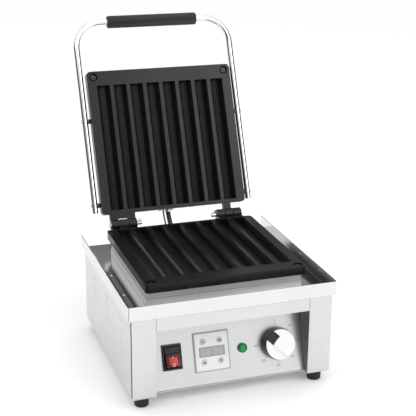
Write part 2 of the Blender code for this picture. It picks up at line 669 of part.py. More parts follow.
def element_housing(frame):
    """Tray under the lower plate, with an ear at each front corner for the plate screws."""
    half = FRAME_W / 2 - HOUSING_STEP
    front = FRAME_FRONT + HOUSING_STEP / 2
    low, high = (-half, front, FRAME_TOP + GAP), (half, FRAME_BACK - HOUSING_STEP, HOUSING_TOP)
    tray = piece("element_housing", box_mesh("element_housing", low, high), frame, STEEL)
    inside = box_mesh("element_housing_inside", (low[0] + SHEET, low[1] + SHEET, low[2] + SHEET),
                      (high[0] - SHEET, high[1] - SHEET, 1.0))
    cut(tray, inside, "element_housing_inside")
    for side, sign in (("left", -1), ("right", 1)):
        x = sign * (PLATE_W / 2 - SCREW_FROM_SIDE)
        y = PLATE_FRONT + SCREW_FROM_FRONT
        first, last = sorted((x - sign * EAR / 2, sign * (half - SHEET / 2)))
        ear = box_mesh(f"{side}_ear", (first, y - EAR / 3, HOUSING_TOP - SHEET),
                       (last, front + SHEET / 2, HOUSING_TOP))
        join(tray, ear, f"{side}_ear")
        hole = rod_mesh(f"{side}_ear_hole", (x, y, HOUSING_TOP - 0.004), (x, y, HOUSING_TOP + 0.002),
                        SCREW_R + GAP, sides=16)
        cut(tray, hole, f"{side}_ear_hole")
    for label, x in element_tail_places().items():
        rod = rod_mesh(f"housing_{label}", (x, element_tail_y(), FRAME_TOP - 0.01),
                       (x, element_tail_y(), FRAME_TOP + 0.003), ELEMENT_R + 0.0012)
        cut(tray, rod, f"housing_{label}")


def star_outline(centre, top, below):
    """Cutter for one groove: half of a six-pointed star, closed over the cooking face.

    The two points beside the face start a little over it, so that the cutter has no corner in its plane.
    """
    sign = -1.0 if below else 1.0
    points = []
    for step in range(7):
        turn = math.pi * step / 6
        rib = STAR_INNER if step == 3 else STAR_SIDE
        radius = STAR_OUTER if step % 2 == 0 else rib
        lift = STAR_LIFT if step in (0, 6) else 0.0
        points.append((centre + radius * math.cos(turn), top + sign * (radius * math.sin(turn) - lift)))
    clear = top - sign * 0.004
    return points + [(centre - STAR_OUTER, clear), (centre + STAR_OUTER, clear)]


def groove_centres():
    """X of each groove."""
    return [(index - (GROOVES - 1) / 2) * GROOVE_PITCH for index in range(GROOVES)]


def cooking_plate(name, parent, back, face, below, knuckles):
    """One cast plate with grooves, screw holes and hinge knuckles.

    back is the y of its back edge, face the z of its cooking face; below is true when the casting lies
    under that face. knuckles holds the x of each knuckle's middle.
    """
    sign = -1.0 if below else 1.0
    thickness = LOWER_T if below else UPPER_T
    front = back - PLATE_D
    outline = rounded_outline((-PLATE_W / 2, front), (PLATE_W / 2, back), PLATE_CORNER)
    heights = sorted((face, face + sign * thickness))
    plate = piece(name, outline_mesh(name, outline, *heights, "Z"), parent, CAST)
    axis_y = back + HINGE_BACK
    for number, x in enumerate(knuckles):
        label = f"{name}_knuckle_{number}"
        near = sorted((face + sign * 0.0004, face + sign * BARREL_R * 0.92))
        tab = box_mesh(f"{label}_tab", (x - KNUCKLE_W / 2, back - 0.003, near[0]),
                       (x + KNUCKLE_W / 2, axis_y, near[1]))
        join(plate, tab, f"{label}_tab")
        barrel = rod_mesh(label, (x - KNUCKLE_W / 2, axis_y, face - sign * FACE),
                          (x + KNUCKLE_W / 2, axis_y, face - sign * FACE), BARREL_R, sides=32)
        join(plate, barrel, label)
    for number, (first, last) in enumerate(zip(sorted(knuckles), sorted(knuckles)[1:])):
        if last - first > 2.5 * (KNUCKLE_W + KNUCKLE_GAP):
            continue
        web = sorted((face + sign * 0.0004, face + sign * BARREL_R * 0.92))
        label = f"{name}_web_{number}"
        join(plate, box_mesh(label, (first - KNUCKLE_W / 4, back - 0.0035, web[0]),
                             (last + KNUCKLE_W / 4, axis_y - BARREL_R - WEB_CLEARANCE, web[1])), label)
    for number, centre in enumerate(groove_centres()):
        label = f"{name}_groove_{number}"
        cutter = outline_mesh(label, star_outline(centre, face, below), front + BORDER_FRONT,
                              back - BORDER_BACK, "Y")
        cut(plate, cutter, label)
    for side, across in (("left", -1), ("right", 1)):
        x, y = across * (PLATE_W / 2 - SCREW_FROM_SIDE), front + SCREW_FROM_FRONT
        sunk = rod_mesh(f"{name}_{side}_counterbore", (x, y, face - sign * 0.002),
                        (x, y, face + sign * COUNTERBORE_DEPTH), COUNTERBORE_R)
        cut(plate, sunk, f"{name}_{side}_counterbore")
        hole = rod_mesh(f"{name}_{side}_hole", (x, y, face), (x, y, face + sign * 2 * thickness),
                        SCREW_R + GAP, sides=16)
        cut(plate, hole, f"{name}_{side}_hole")
    first, last = min(knuckles) - KNUCKLE_W, max(knuckles) + KNUCKLE_W
    bore = rod_mesh(f"{name}_bore", (first, axis_y, face - sign * FACE), (last, axis_y, face - sign * FACE),
                    PIN_R + RUNNING_FIT, sides=32)
    cut(plate, bore, f"{name}_bore")
    return plate


def plate_screws(parent, name, face, below):
    """Cap screws in the counterbores at the plate's front corners."""
    sign = -1.0 if below else 1.0
    front = PLATE_FRONT if below else -HINGE_BACK - PLATE_D
    floor = face + sign * (COUNTERBORE_DEPTH - GAP)
    for side, across in (("left", -1), ("right", 1)):
        label = f"{name}_{side}_screw"
        x, y = across * (PLATE_W / 2 - SCREW_FROM_SIDE), front + SCREW_FROM_FRONT
        profile = [(0.0, 0.0), (SCREW_HEAD_R * 0.9, 0.0), (SCREW_HEAD_R, 0.0005), (SCREW_HEAD_R, 0.0040),
                   (SCREW_R, 0.0040), (SCREW_R, 0.0140), (0.0, 0.0140)]
        mesh = turned_mesh(label, profile, (x, y, floor - sign * 0.0040), (0, 0, sign), sides=20)
        piece(label, mesh, parent, STEEL)


def element_tail_places():
    """X of each end of the lower element where it goes down into the body."""
    return {"tail_left": -GROOVE_PITCH, "tail_right": GROOVE_PITCH}


def element_tail_y():
    """Y of the lower element's ends."""
    return FRAME_BACK - 0.018


def lower_heating(frame):
    """Insulation and tubular element in the housing."""
    low = FRAME_TOP + GAP + SHEET + GAP
    half = FRAME_W / 2 - HOUSING_STEP - SHEET - 0.001
    mat = box_mesh("lower_insulation", (-half, FRAME_FRONT + 0.004, low),
                   (half, element_tail_y() - 0.010, low + INSULATION_T))
    piece("lower_insulation", mat, frame, WOOL)
    level = HOUSING_TOP - ELEMENT_R - 0.0008
    route = heater_route(FRAME_FRONT + 0.022, element_tail_y(), level, BODY_H - 0.012)
    piece("lower_heating_element", tube_mesh("lower_heating_element", route, ELEMENT_R, 2), frame, STEEL)


def heater_route(front, back, level, tail):
    """Element bent into two loops under the grooves, with both tails at the back.

    Each tail rises at the back, runs forward, turns outward and comes back; the two loops are joined by a
    run across behind the tails.
    """
    inner, outer = element_tail_places()["tail_right"], GROOVE_PITCH * 3
    bend = (outer - inner) / 2
    lane = back + ELEMENT_LANE
    corner = ELEMENT_R * 2
    half = [(inner, back, tail), (inner, back, level)]
    half += [(x, y, level) for x, y in arc((inner + bend, front + bend), bend, math.pi, 2 * math.pi, 8)]
    half += [(x, y, level) for x, y in arc((outer - corner, lane - corner), corner, 0.0, math.pi / 2, 3)]
    return half + [(-x, y, z) for x, y, z in reversed(half)]


# ---------------------------------------------------------------- hinges
def hinge_pins(frame):
    """Pins through the knuckles, headed on the outside and held by a cotter on the inside."""
    width = 3 * KNUCKLE_W + 2 * KNUCKLE_GAP
    for side, sign in (("left", -1), ("right", 1)):
        head = sign * (HINGE_X + width / 2 + GAP)
        tail = sign * (HINGE_X - width / 2 - PIN_TAIL)
        name = f"{side}_hinge_pin"
        reach = abs(head - tail)
        profile = [(0.0, -PIN_HEAD_T), (PIN_HEAD_R * 0.8, -PIN_HEAD_T), (PIN_HEAD_R, -PIN_HEAD_T * 0.6),
                   (PIN_HEAD_R, 0.0), (PIN_R, 0.0), (PIN_R, reach - 0.0008), (PIN_R * 0.75, reach), (0.0, reach)]
        mesh = turned_mesh(name, profile, (head, HINGE_Y, HINGE_Z), (-sign, 0, 0), sides=32)
        pin = piece(name, mesh, frame, STEEL)
        x = sign * (HINGE_X - width / 2 - PIN_TAIL * 0.5)
        lean = Vector((0.0, -0.5, 0.866))
        middle = Vector((x, HINGE_Y, HINGE_Z))
        hole = rod_mesh(f"{side}_cotter_hole", middle - lean * 0.01, middle + lean * 0.01, COTTER_R + GAP, sides=12)
        cut(pin, hole, f"{side}_cotter_hole")
        cotter(frame, f"{side}_cotter_pin", middle, lean)


def cotter(frame, name, middle, lean):
    """Round-wire cotter: a leg through the pin and an eye at its upper end."""
    start = middle - lean * 0.0060
    neck = middle + lean * (PIN_R + 0.0012)
    across = Vector((1.0, 0.0, 0.0))
    centre = neck + lean * COTTER_EYE_R
    eye = []
    for step in range(1, 13):
        turn = math.radians(-90.0 + 300.0 * step / 12)
        eye.append(centre + across * COTTER_EYE_R * math.cos(turn) + lean * COTTER_EYE_R * math.sin(turn))
    route = [start, middle, neck] + eye
    piece(name, tube_mesh(name, [tuple(point) for point in route], COTTER_R, 1), frame, STEEL)


# ---------------------------------------------------------------- lid, in the hinge's frame, lid shut
def lid_y(from_back):
    """Y in the hinge's frame of a place measured forward from the plate's back edge."""
    return -HINGE_BACK - from_back


def lid_cover(lid):
    """Stainless box behind the upper plate, open towards it, with ears for the plate screws."""
    low, high = (-COVER_HALF, COVER_FRONT_Y), (COVER_HALF, COVER_BACK_Y)
    outer = rounded_outline(low, high, COVER_CORNER)
    inner = rounded_outline((low[0] + SHEET, low[1] + SHEET), (high[0] - SHEET, high[1] - SHEET),
                            COVER_CORNER - SHEET)
    cover = piece("lid_cover", outline_mesh("lid_cover", outer, COVER_LOW, COVER_HIGH, "Z"), lid, STEEL)
    inside = outline_mesh("lid_cover_inside", inner, COVER_LOW - 0.01, COVER_HIGH - SHEET, "Z")
    cut(cover, inside, "lid_cover_inside")
    for side, sign in (("left", -1), ("right", 1)):
        x, y = sign * (PLATE_W / 2 - SCREW_FROM_SIDE), lid_y(PLATE_D - SCREW_FROM_FRONT)
        first, last = sorted((x - sign * EAR, sign * (COVER_HALF - COVER_CORNER)))
        ear = box_mesh(f"lid_{side}_ear", (first, y - EAR / 3, COVER_LOW),
                       (last, COVER_FRONT_Y + SHEET / 2, COVER_LOW + SHEET))
        join(cover, ear, f"lid_{side}_ear")
        hole = rod_mesh(f"lid_{side}_ear_hole", (x, y, COVER_LOW - 0.002), (x, y, COVER_LOW + 0.004),
                        SCREW_R + GAP, sides=16)
        cut(cover, hole, f"lid_{side}_ear_hole")
    entry = rod_mesh("cover_conduit_hole", (CONDUIT_X, COVER_BACK_Y - 0.01, clamp_level()),
                     (CONDUIT_X, COVER_BACK_Y + 0.01, clamp_level()), CONDUIT_R)
    cut(cover, entry, "cover_conduit_hole")


def clamp_level():
    """Height of the conduit's entry in the lid cover's back wall, in the hinge's frame."""
    return (COVER_LOW + COVER_HIGH) / 2


def upper_heating(lid):
    """Insulation and tubular element behind the upper plate."""
    half = COVER_HALF - SHEET - 0.002
    top = COVER_HIGH - SHEET - GAP
    front, back = COVER_FRONT_Y + SHEET + 0.002, COVER_BACK_Y - SHEET - 0.002
    mat = box_mesh("upper_insulation", (-half, front, top - INSULATION_T), (half, back, top))
    piece("upper_insulation", mat, lid, WOOL)
    level = COVER_LOW + ELEMENT_R + 0.0008
    route = heater_route(COVER_FRONT_Y + 0.012, COVER_BACK_Y - 0.020, level, level + 0.008)
    piece("upper_heating_element", tube_mesh("upper_heating_element", route, ELEMENT_R, 2), lid, STEEL)


def handle_route():
    """Centre line of the handle tube: up one leg, across and down the other."""
    level = FACE + HANDLE_BACK
    tail, reach = lid_y(HANDLE_TAIL), lid_y(HANDLE_REACH)
    bend_y = reach + HANDLE_BEND
    corner = HANDLE_X - HANDLE_BEND
    half = [(HANDLE_X, tail, level), (HANDLE_X, (tail + bend_y) / 2, level)]
    half += [(x, y, level) for x, y in arc((corner, bend_y), HANDLE_BEND, 0.0, -math.pi / 2, 9)]
    return half + [(-x, y, z) for x, y, z in reversed(half)]


def handle(lid, plate):
    """Bent handle tube with its grip, four spacers, and four bolts into the upper plate's sides."""
    tube = piece("handle_tube", tube_mesh("handle_tube", handle_route(), HANDLE_R, 3), lid, CHROME)
    level = FACE + HANDLE_BACK
    wall = PLATE_W / 2
    grip_y = lid_y(HANDLE_REACH)
    bore = HANDLE_R + GAP
    ends = ((bore, 0.0), (GRIP_R * 0.82, 0.0), (GRIP_R, GRIP_R * 0.18))
    profile = list(ends) + [(radius, GRIP_LEN - along) for radius, along in reversed(ends)] + [ends[0]]
    mesh = turned_mesh("handle_grip", profile, (-GRIP_LEN / 2, grip_y, level), (1, 0, 0), sides=28)
    piece("handle_grip", mesh, lid, BLACK)
    for side, sign in (("left", -1), ("right", 1)):
        for number, place in enumerate(SPACER_FROM_BACK):
            end = ("lower", "upper")[number]
            y = lid_y(place)
            inner, outer = sign * (wall + GAP), sign * (HANDLE_X - HANDLE_R - GAP)
            label = f"{side}_{end}_spacer"
            spacer = turned_mesh(label, [(BOLT_R + GAP, 0.0), (SPACER_R, 0.0), (SPACER_R, abs(outer - inner)),
                                         (BOLT_R + GAP, abs(outer - inner)), (BOLT_R + GAP, 0.0)],
                                 (inner, y, level), (sign, 0, 0), sides=20)
            piece(label, spacer, lid, BLACK)
            label = f"{side}_{end}_bolt"
            head = HANDLE_X + HANDLE_R + GAP
            shank = head - wall + BOLT_DEPTH
            bolt = [(0.0, -BOLT_HEAD_T), (BOLT_HEAD_R * 0.7, -BOLT_HEAD_T), (BOLT_HEAD_R, -BOLT_HEAD_T * 0.4),
                    (BOLT_HEAD_R, 0.0), (BOLT_R, 0.0), (BOLT_R, shank), (0.0, shank)]
            mesh = turned_mesh(label, bolt, (sign * head, y, level), (-sign, 0, 0), sides=16)
            piece(label, mesh, lid, STEEL)
            hole = rod_mesh(f"tube_{label}_hole", (sign * (HANDLE_X - 0.01), y, level),
                            (sign * (HANDLE_X + 0.01), y, level), BOLT_R + GAP, sides=16)
            cut(tube, hole, f"tube_{label}_hole")
            socket = rod_mesh(f"plate_{label}_hole", (sign * (wall - BOLT_DEPTH - GAP), y, level),
                              (sign * (wall + 0.01), y, level), BOLT_R + GAP, sides=16)
            cut(plate, socket, f"plate_{label}_hole")


# ---------------------------------------------------------------- conduit
def hinge_to_frame(point):
    """A place in the open lid's own frame as a place in the design frame."""
    turned = Matrix.Rotation(-LID_OPEN, 4, "X") @ Vector(point)
    return turned + Vector((0.0, HINGE_Y, HINGE_Z))


def smooth_route(first, first_way, last, last_way, steps):
    """Points of a cubic curve that leaves and arrives along the given directions."""
    pull = (last - first).length * 0.45
    knots = (first, first + first_way * pull, last - last_way * pull, last)
    points = []
    for step in range(steps + 1):
        t = step / steps
        weights = ((1 - t) ** 3, 3 * t * (1 - t) ** 2, 3 * t * t * (1 - t), t ** 3)
        points.append(sum((knot * weight for knot, weight in zip(knots, weights)), Vector()))
    return points


def conduit(frame, lid):
    """Flexible conduit that takes the upper element's wires over the hinge: gland, hose and lid clamp."""
    gland = [(CONDUIT_R, GAP), (GLAND_R, GAP), (GLAND_R, GLAND_H * 0.7), (GLAND_R * 0.85, GLAND_H),
             (CONDUIT_R, GLAND_H), (CONDUIT_R, GAP)]
    mesh = turned_mesh("conduit_gland", gland, (CONDUIT_X, GLAND_Y, FLOOR_TOP), (0, 0, 1), sides=12)
    piece("conduit_gland", mesh, frame, CHROME)

    foot = COVER_BACK_Y + GAP
    plate = box_mesh("conduit_clamp", (CLAMP_X - CLAMP_W / 2, foot, clamp_level() - CLAMP_H / 2),
                     (CLAMP_X + CLAMP_W / 2, foot + CLAMP_T, clamp_level() + CLAMP_H / 2))
    clamp = piece("conduit_clamp", plate, lid, CHROME)
    collar = rod_mesh("clamp_collar", (CONDUIT_X, foot + GAP, clamp_level()),
                      (CONDUIT_X, foot + COLLAR_LEN, clamp_level()), CONDUIT_R + 0.0016)
    join(clamp, collar, "clamp_collar")
    bore = rod_mesh("clamp_bore", (CONDUIT_X, foot - 0.01, clamp_level()),
                    (CONDUIT_X, foot + 0.02, clamp_level()), CONDUIT_R - 0.0012)
    cut(clamp, bore, "clamp_bore")

    first = Vector((CONDUIT_X, GLAND_Y, FLOOR_TOP + GLAND_H + GAP))
    last = hinge_to_frame((CONDUIT_X, foot + COLLAR_LEN + GAP, clamp_level()))
    arriving = (Matrix.Rotation(-LID_OPEN, 3, "X") @ Vector((0, -1, 0)))
    route = smooth_route(first, Vector((0, 0, 1)), last, arriving, 12)
    lower = [tuple(point) for point in route[:7]]
    piece("conduit_lower", tube_mesh("conduit_lower", lower, CONDUIT_R, 3), frame, STEEL)
    step = (route[7] - route[6]).normalized() * GAP
    back_to_lid = Matrix.Rotation(LID_OPEN, 4, "X")
    start = route[6] + step
    upper = [back_to_lid @ (point - Vector((0.0, HINGE_Y, HINGE_Z))) for point in [start] + route[7:]]
    mesh = tube_mesh("conduit_upper", [tuple(point) for point in upper], CONDUIT_R, 3)
    piece("conduit_upper", mesh, lid, STEEL)


# ---------------------------------------------------------------- assembly
def centre_frame(frame):
    """Put the origin under the middle of the whole grill, on the surface that it stands on."""
    bpy.context.view_layer.update()
    graph = bpy.context.evaluated_depsgraph_get()
    depths = []
    for obj in collection(PARTS).objects:
        if obj.type != "MESH":
            continue
        evaluated = obj.evaluated_get(graph)
        depths += [(evaluated.matrix_world @ vert.co).y for vert in evaluated.data.vertices]
    frame.location = (0.0, -(min(depths) + max(depths)) / 2, FOOT_H)


def build():
    """Make every piece of the grill."""
    clear_scene()
    frame = empty("grill_frame", None, (0, 0, 0))
    panel = empty("panel_plane", frame, (0, PANEL_Y, 0), turn_x=-PANEL_TILT)
    lid = empty("lid_hinge_axis", frame, (0, HINGE_Y, HINGE_Z), turn_x=-LID_OPEN)

    base_plate(frame)
    feet(frame)
    side_panels(frame)
    rear_panel(frame)
    cord_gland(frame)
    front_pillars(frame)
    front_band(frame)
    control_panel(panel)
    timer(panel)
    switch(panel)
    pilot_lamp(panel)
    thermostat(panel)

    drip_pan(frame)
    support_frame(frame)
    element_housing(frame)
    lower_heating(frame)
    step = KNUCKLE_W + KNUCKLE_GAP
    cooking_plate("lower_plate", frame, PLATE_BACK, PLATE_TOP, True, [-HINGE_X, HINGE_X - step, HINGE_X + step])
    plate_screws(frame, "lower", PLATE_TOP, True)
    hinge_pins(frame)

    upper = cooking_plate("upper_plate", lid, -HINGE_BACK, FACE, False, [-HINGE_X - step, step - HINGE_X, HINGE_X])
    plate_screws(lid, "upper", FACE, False)
    lid_cover(lid)
    upper_heating(lid)
    handle(lid, upper)
    conduit(frame, lid)
    centre_frame(frame)


build()
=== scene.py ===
"""Looks for a hinged twin-plate contact grill: stainless body, cast fluted plates, bow handle, controls."""
import json
import logging
import math
from dataclasses import dataclass, field
from enum import Enum
from typing import Iterable, Sequence

import bmesh
import bpy
from mathutils import Matrix, Vector

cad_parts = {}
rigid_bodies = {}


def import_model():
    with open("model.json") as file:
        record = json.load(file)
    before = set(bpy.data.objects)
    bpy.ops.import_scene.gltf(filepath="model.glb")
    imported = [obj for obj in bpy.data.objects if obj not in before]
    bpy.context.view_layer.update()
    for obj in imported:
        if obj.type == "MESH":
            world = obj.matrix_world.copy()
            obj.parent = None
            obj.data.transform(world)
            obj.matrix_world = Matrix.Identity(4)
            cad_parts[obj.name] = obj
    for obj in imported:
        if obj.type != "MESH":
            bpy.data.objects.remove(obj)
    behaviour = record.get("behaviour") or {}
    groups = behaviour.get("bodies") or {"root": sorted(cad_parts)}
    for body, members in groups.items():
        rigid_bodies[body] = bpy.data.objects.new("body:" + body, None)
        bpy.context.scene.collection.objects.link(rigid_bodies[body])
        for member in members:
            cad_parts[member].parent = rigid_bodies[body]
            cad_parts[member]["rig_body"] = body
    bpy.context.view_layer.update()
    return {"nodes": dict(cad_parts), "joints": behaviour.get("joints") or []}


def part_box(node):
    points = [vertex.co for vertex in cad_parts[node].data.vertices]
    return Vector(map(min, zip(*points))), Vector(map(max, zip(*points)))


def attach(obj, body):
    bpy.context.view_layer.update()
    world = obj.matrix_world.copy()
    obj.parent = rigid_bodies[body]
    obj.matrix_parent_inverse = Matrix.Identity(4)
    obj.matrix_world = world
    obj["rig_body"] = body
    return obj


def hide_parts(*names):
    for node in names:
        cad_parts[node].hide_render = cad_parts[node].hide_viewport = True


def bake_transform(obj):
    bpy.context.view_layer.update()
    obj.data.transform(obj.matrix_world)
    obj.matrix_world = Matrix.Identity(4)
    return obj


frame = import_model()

LOG = logging.getLogger("contact_grill")
MM = 0.001
SHARP = math.radians(35.0)
Point = tuple[float, float]
Colour = tuple[float, float, float]


# ------------------------------------------------------------------ shader maths
class Signal:
    """A shader socket whose arithmetic adds Math nodes."""

    def __init__(self, paint: "Paint", socket: bpy.types.NodeSocket) -> None:
        """Wrap a socket.

        Args:
            paint: the material being made.
            socket: an output socket of one of its nodes.
        """
        self.paint = paint
        self.socket = socket

    def _math(self, operation: str, first: "Signal | float", second: "Signal | float" = 0.0) -> "Signal":
        """A Math node on two values; returns its output."""
        return self.paint.node("ShaderNodeMath", {"operation": operation}, {0: first, 1: second})

    def __add__(self, other: "Signal | float") -> "Signal":
        """Sum."""
        return self._math("ADD", self, other)

    def __mul__(self, other: "Signal | float") -> "Signal":
        """Product."""
        return self._math("MULTIPLY", self, other)

    def __sub__(self, other: "Signal | float") -> "Signal":
        """Difference."""
        return self._math("SUBTRACT", self, other)

    def most(self, other: "Signal | float") -> "Signal":
        """The larger of two values."""
        return self._math("MAXIMUM", self, other)

    def ramp(self, low: float, high: float, start: float = 0.0, end: float = 1.0) -> "Signal":
        """Values from low to high rescaled from start to end, and held outside them."""
        node = self.paint.node("ShaderNodeMapRange", {"clamp": True},
                               {"Value": self, "From Min": low, "From Max": high, "To Min": start, "To Max": end})
        return node


class Paint:
    """One procedural material with a Principled shader."""

    def __init__(self, name: str) -> None:
        """Start an empty material.

        Args:
            name: name of the material.
        """
        self.material = bpy.data.materials.new(name)
        self.material.use_nodes = True
        self.tree = self.material.node_tree
        self.shader = self.tree.nodes["Principled BSDF"]
        self._object: Signal | None = None

    def node(self, kind: str, settings: dict[str, object], inputs: dict[object, object], output: int = 0) -> Signal:
        """Add a node.

        Args:
            kind: node type.
            settings: attributes of the node, set first.
            inputs: values or signals for its sockets, by name or number.
            output: number of the output to return.

        Returns:
            The chosen output as a signal.
        """
        made = self.tree.nodes.new(kind)
        for key, value in settings.items():
            setattr(made, key, value)
        for key, value in inputs.items():
            self.set(made.inputs[key], value)
        return Signal(self, made.outputs[output])

    def set(self, socket: bpy.types.NodeSocket, value: "Signal | float | Sequence[float]") -> None:
        """Link a signal to an input socket, or write a constant on it.

        Args:
            socket: the input socket.
            value: signal or constant.
        """
        if isinstance(value, Signal):
            self.tree.links.new(value.socket, socket)
        else:
            socket.default_value = value

    def place(self, scale: Sequence[float] = (1, 1, 1), turn: Sequence[float] = (0, 0, 0)) -> Signal:
        """Object coordinates through a Mapping node, as a signal."""
        if self._object is None:
            self._object = self.node("ShaderNodeTexCoord", {}, {}, 3)
        return self.node("ShaderNodeMapping", {}, {"Vector": self._object, "Scale": scale, "Rotation": turn})

    def noise(self, scale: Sequence[float], detail: float = 2.0, rough: float = 0.5) -> Signal:
        """Noise with a frequency per metre along each axis."""
        return self.node("ShaderNodeTexNoise", {}, {"Vector": self.place(scale), "Scale": 1.0, "Detail": detail,
                                                    "Roughness": rough})

    def cells(self, scale: float) -> Signal:
        """Distance to the nearest of scattered points, with a frequency per metre."""
        return self.node("ShaderNodeTexVoronoi", {}, {"Vector": self.place(), "Scale": scale})

    def blend(self, factor: Signal, first: Colour, second: Colour) -> Signal:
        """A colour between two, by a factor."""
        return self.node("ShaderNodeMix", {"data_type": "RGBA"},
                         {0: factor, 6: (*first, 1.0), 7: (*second, 1.0)}, 2)

    def bump(self, height: Signal, strength: float, distance: float) -> Signal:
        """Normals from a height."""
        return self.node("ShaderNodeBump", {}, {"Height": height, "Strength": strength, "Distance": distance})

    def feed(self, **signals: "Signal | float | Sequence[float]") -> None:
        """Connect or set sockets of the shader, named with underscores for spaces."""
        for key, value in signals.items():
            self.set(self.shader.inputs[key.replace("_", " ")], value)


class Grain(Enum):
    """Direction of the brush lines, as noise frequencies per metre along X, Y and Z."""

    ALONG_X = (9.0, 2400.0, 2400.0)
    ALONG_Y = (2400.0, 9.0, 2400.0)
    ALONG_Z = (2400.0, 2400.0, 9.0)


def lighter(colour: Colour, factor: float) -> Colour:
    """A colour scaled by a factor."""
    return (min(1.0, colour[0] * factor), min(1.0, colour[1] * factor), min(1.0, colour[2] * factor))


@dataclass(frozen=True)
class Finish:
    """A look, which makes its own material."""

    name: str

    def paint(self) -> bpy.types.Material:
        """Make the material."""
        paint = Paint(self.name)
        self.mix(paint)
        return paint.material

    def mix(self, paint: Paint) -> None:
        """Feed the shader; each look does it in its own way."""
        raise NotImplementedError


@dataclass(frozen=True)
class BrushedSteel(Finish):
    """Stainless sheet with fine brush lines and faint clouding."""

    tone: Colour = (0.69, 0.69, 0.685)
    roughness: float = 0.30
    grain: Grain = Grain.ALONG_X
    depth: float = 0.018

    def mix(self, paint: Paint) -> None:
        """Feed the shader."""
        lines = paint.noise(self.grain.value, 3.0)
        clouds = paint.noise((14, 14, 14), 2.0)
        mix = (lines - 0.5) * 0.9 + (clouds - 0.5) * 0.5 + 0.5
        paint.feed(Base_Color=paint.blend(mix, lighter(self.tone, 0.84), lighter(self.tone, 1.08)), Metallic=1.0,
                   Roughness=((lines - 0.5) * 0.40 + (clouds - 0.5) * 0.16 + 1.0) * self.roughness,
                   Normal=paint.bump(lines, self.depth, 0.0002))


@dataclass(frozen=True)
class PlainMetal(Finish):
    """Turned, plated or cast bright metal with slight unevenness."""

    tone: Colour = (0.78, 0.78, 0.78)
    roughness: float = 0.20
    spread: float = 0.06
    grain: float = 900.0
    depth: float = 0.03

    def mix(self, paint: Paint) -> None:
        """Feed the shader."""
        fine = paint.noise((self.grain,) * 3, 3.0)
        broad = paint.noise((60, 60, 60), 2.0)
        paint.feed(Base_Color=paint.blend(broad, lighter(self.tone, 0.93), lighter(self.tone, 1.04)), Metallic=1.0,
                   Roughness=(fine - 0.5) * self.spread + (broad - 0.5) * self.spread + self.roughness,
                   Normal=paint.bump(fine, self.depth, 0.0001))


@dataclass(frozen=True)
class CoatedCasting(Finish):
    """Black non-stick coat over a casting: fine orange peel, pinpoint sparkle and duller patches."""

    tone: Colour = (0.0042, 0.0042, 0.0047)
    roughness: float = 0.31

    def mix(self, paint: Paint) -> None:
        """Feed the shader."""
        peel = paint.noise((700, 700, 700), 4.0, rough=0.6)
        patches = paint.noise((26, 26, 26), 3.0)
        flecks = paint.cells(2600.0).ramp(0.0, 0.16, 1.0, 0.0)
        shade = patches * 0.5 + flecks * 0.35
        paint.feed(Base_Color=paint.blend(shade, lighter(self.tone, 0.75), lighter(self.tone, 2.4)), Metallic=0.0,
                   Roughness=(patches - 0.5) * 0.16 + (peel - 0.5) * 0.10 + self.roughness,
                   Normal=paint.bump(peel, 0.22, 0.00025), Specular_IOR_Level=0.36)


@dataclass(frozen=True)
class Moulding(Finish):
    """Moulded plastic or rubber with a fine spark-eroded texture."""

    tone: Colour
    roughness: float = 0.38
    texture: float = 0.10
    grain: float = 1600.0
    glow: float = 0.0

    def mix(self, paint: Paint) -> None:
        """Feed the shader."""
        fine = paint.noise((self.grain,) * 3, 3.0)
        broad = paint.noise((45, 45, 45), 2.0)
        paint.feed(Base_Color=paint.blend(broad, lighter(self.tone, 0.90), lighter(self.tone, 1.08)), Metallic=0.0,
                   Roughness=(fine - 0.5) * 0.12 + (broad - 0.5) * 0.08 + self.roughness,
                   Normal=paint.bump(fine, self.texture, 0.00012))
        if self.glow > 0:
            paint.feed(Emission_Color=(*self.tone, 1.0), Emission_Strength=self.glow)


@dataclass(frozen=True)
class Braid(Finish):
    """Woven wire or glass sleeve: two sets of strands that cross."""

    dark: Colour
    light: Colour
    metallic: float = 0.6
    pitch: float = 1500.0

    def mix(self, paint: Paint) -> None:
        """Feed the shader."""
        waves = []
        for lean in (0.75, -0.75):
            place = paint.place((1, 1, 1), (0.0, lean, lean))
            waves.append(paint.node("ShaderNodeTexWave", {"wave_type": "BANDS", "bands_direction": "Z"},
                                    {"Vector": place, "Scale": self.pitch / 6.0, "Distortion": 0.4,
                                     "Detail": 1.0}, 1))
        weave = waves[0].most(waves[1])
        fuzz = paint.noise((900, 900, 900), 2.0)
        mix = weave * 0.8 + fuzz * 0.3 - 0.1
        paint.feed(Base_Color=paint.blend(mix, self.dark, self.light), Metallic=self.metallic,
                   Roughness=(fuzz - 0.5) * 0.2 + 0.5, Normal=paint.bump(weave, 0.6, 0.0003))


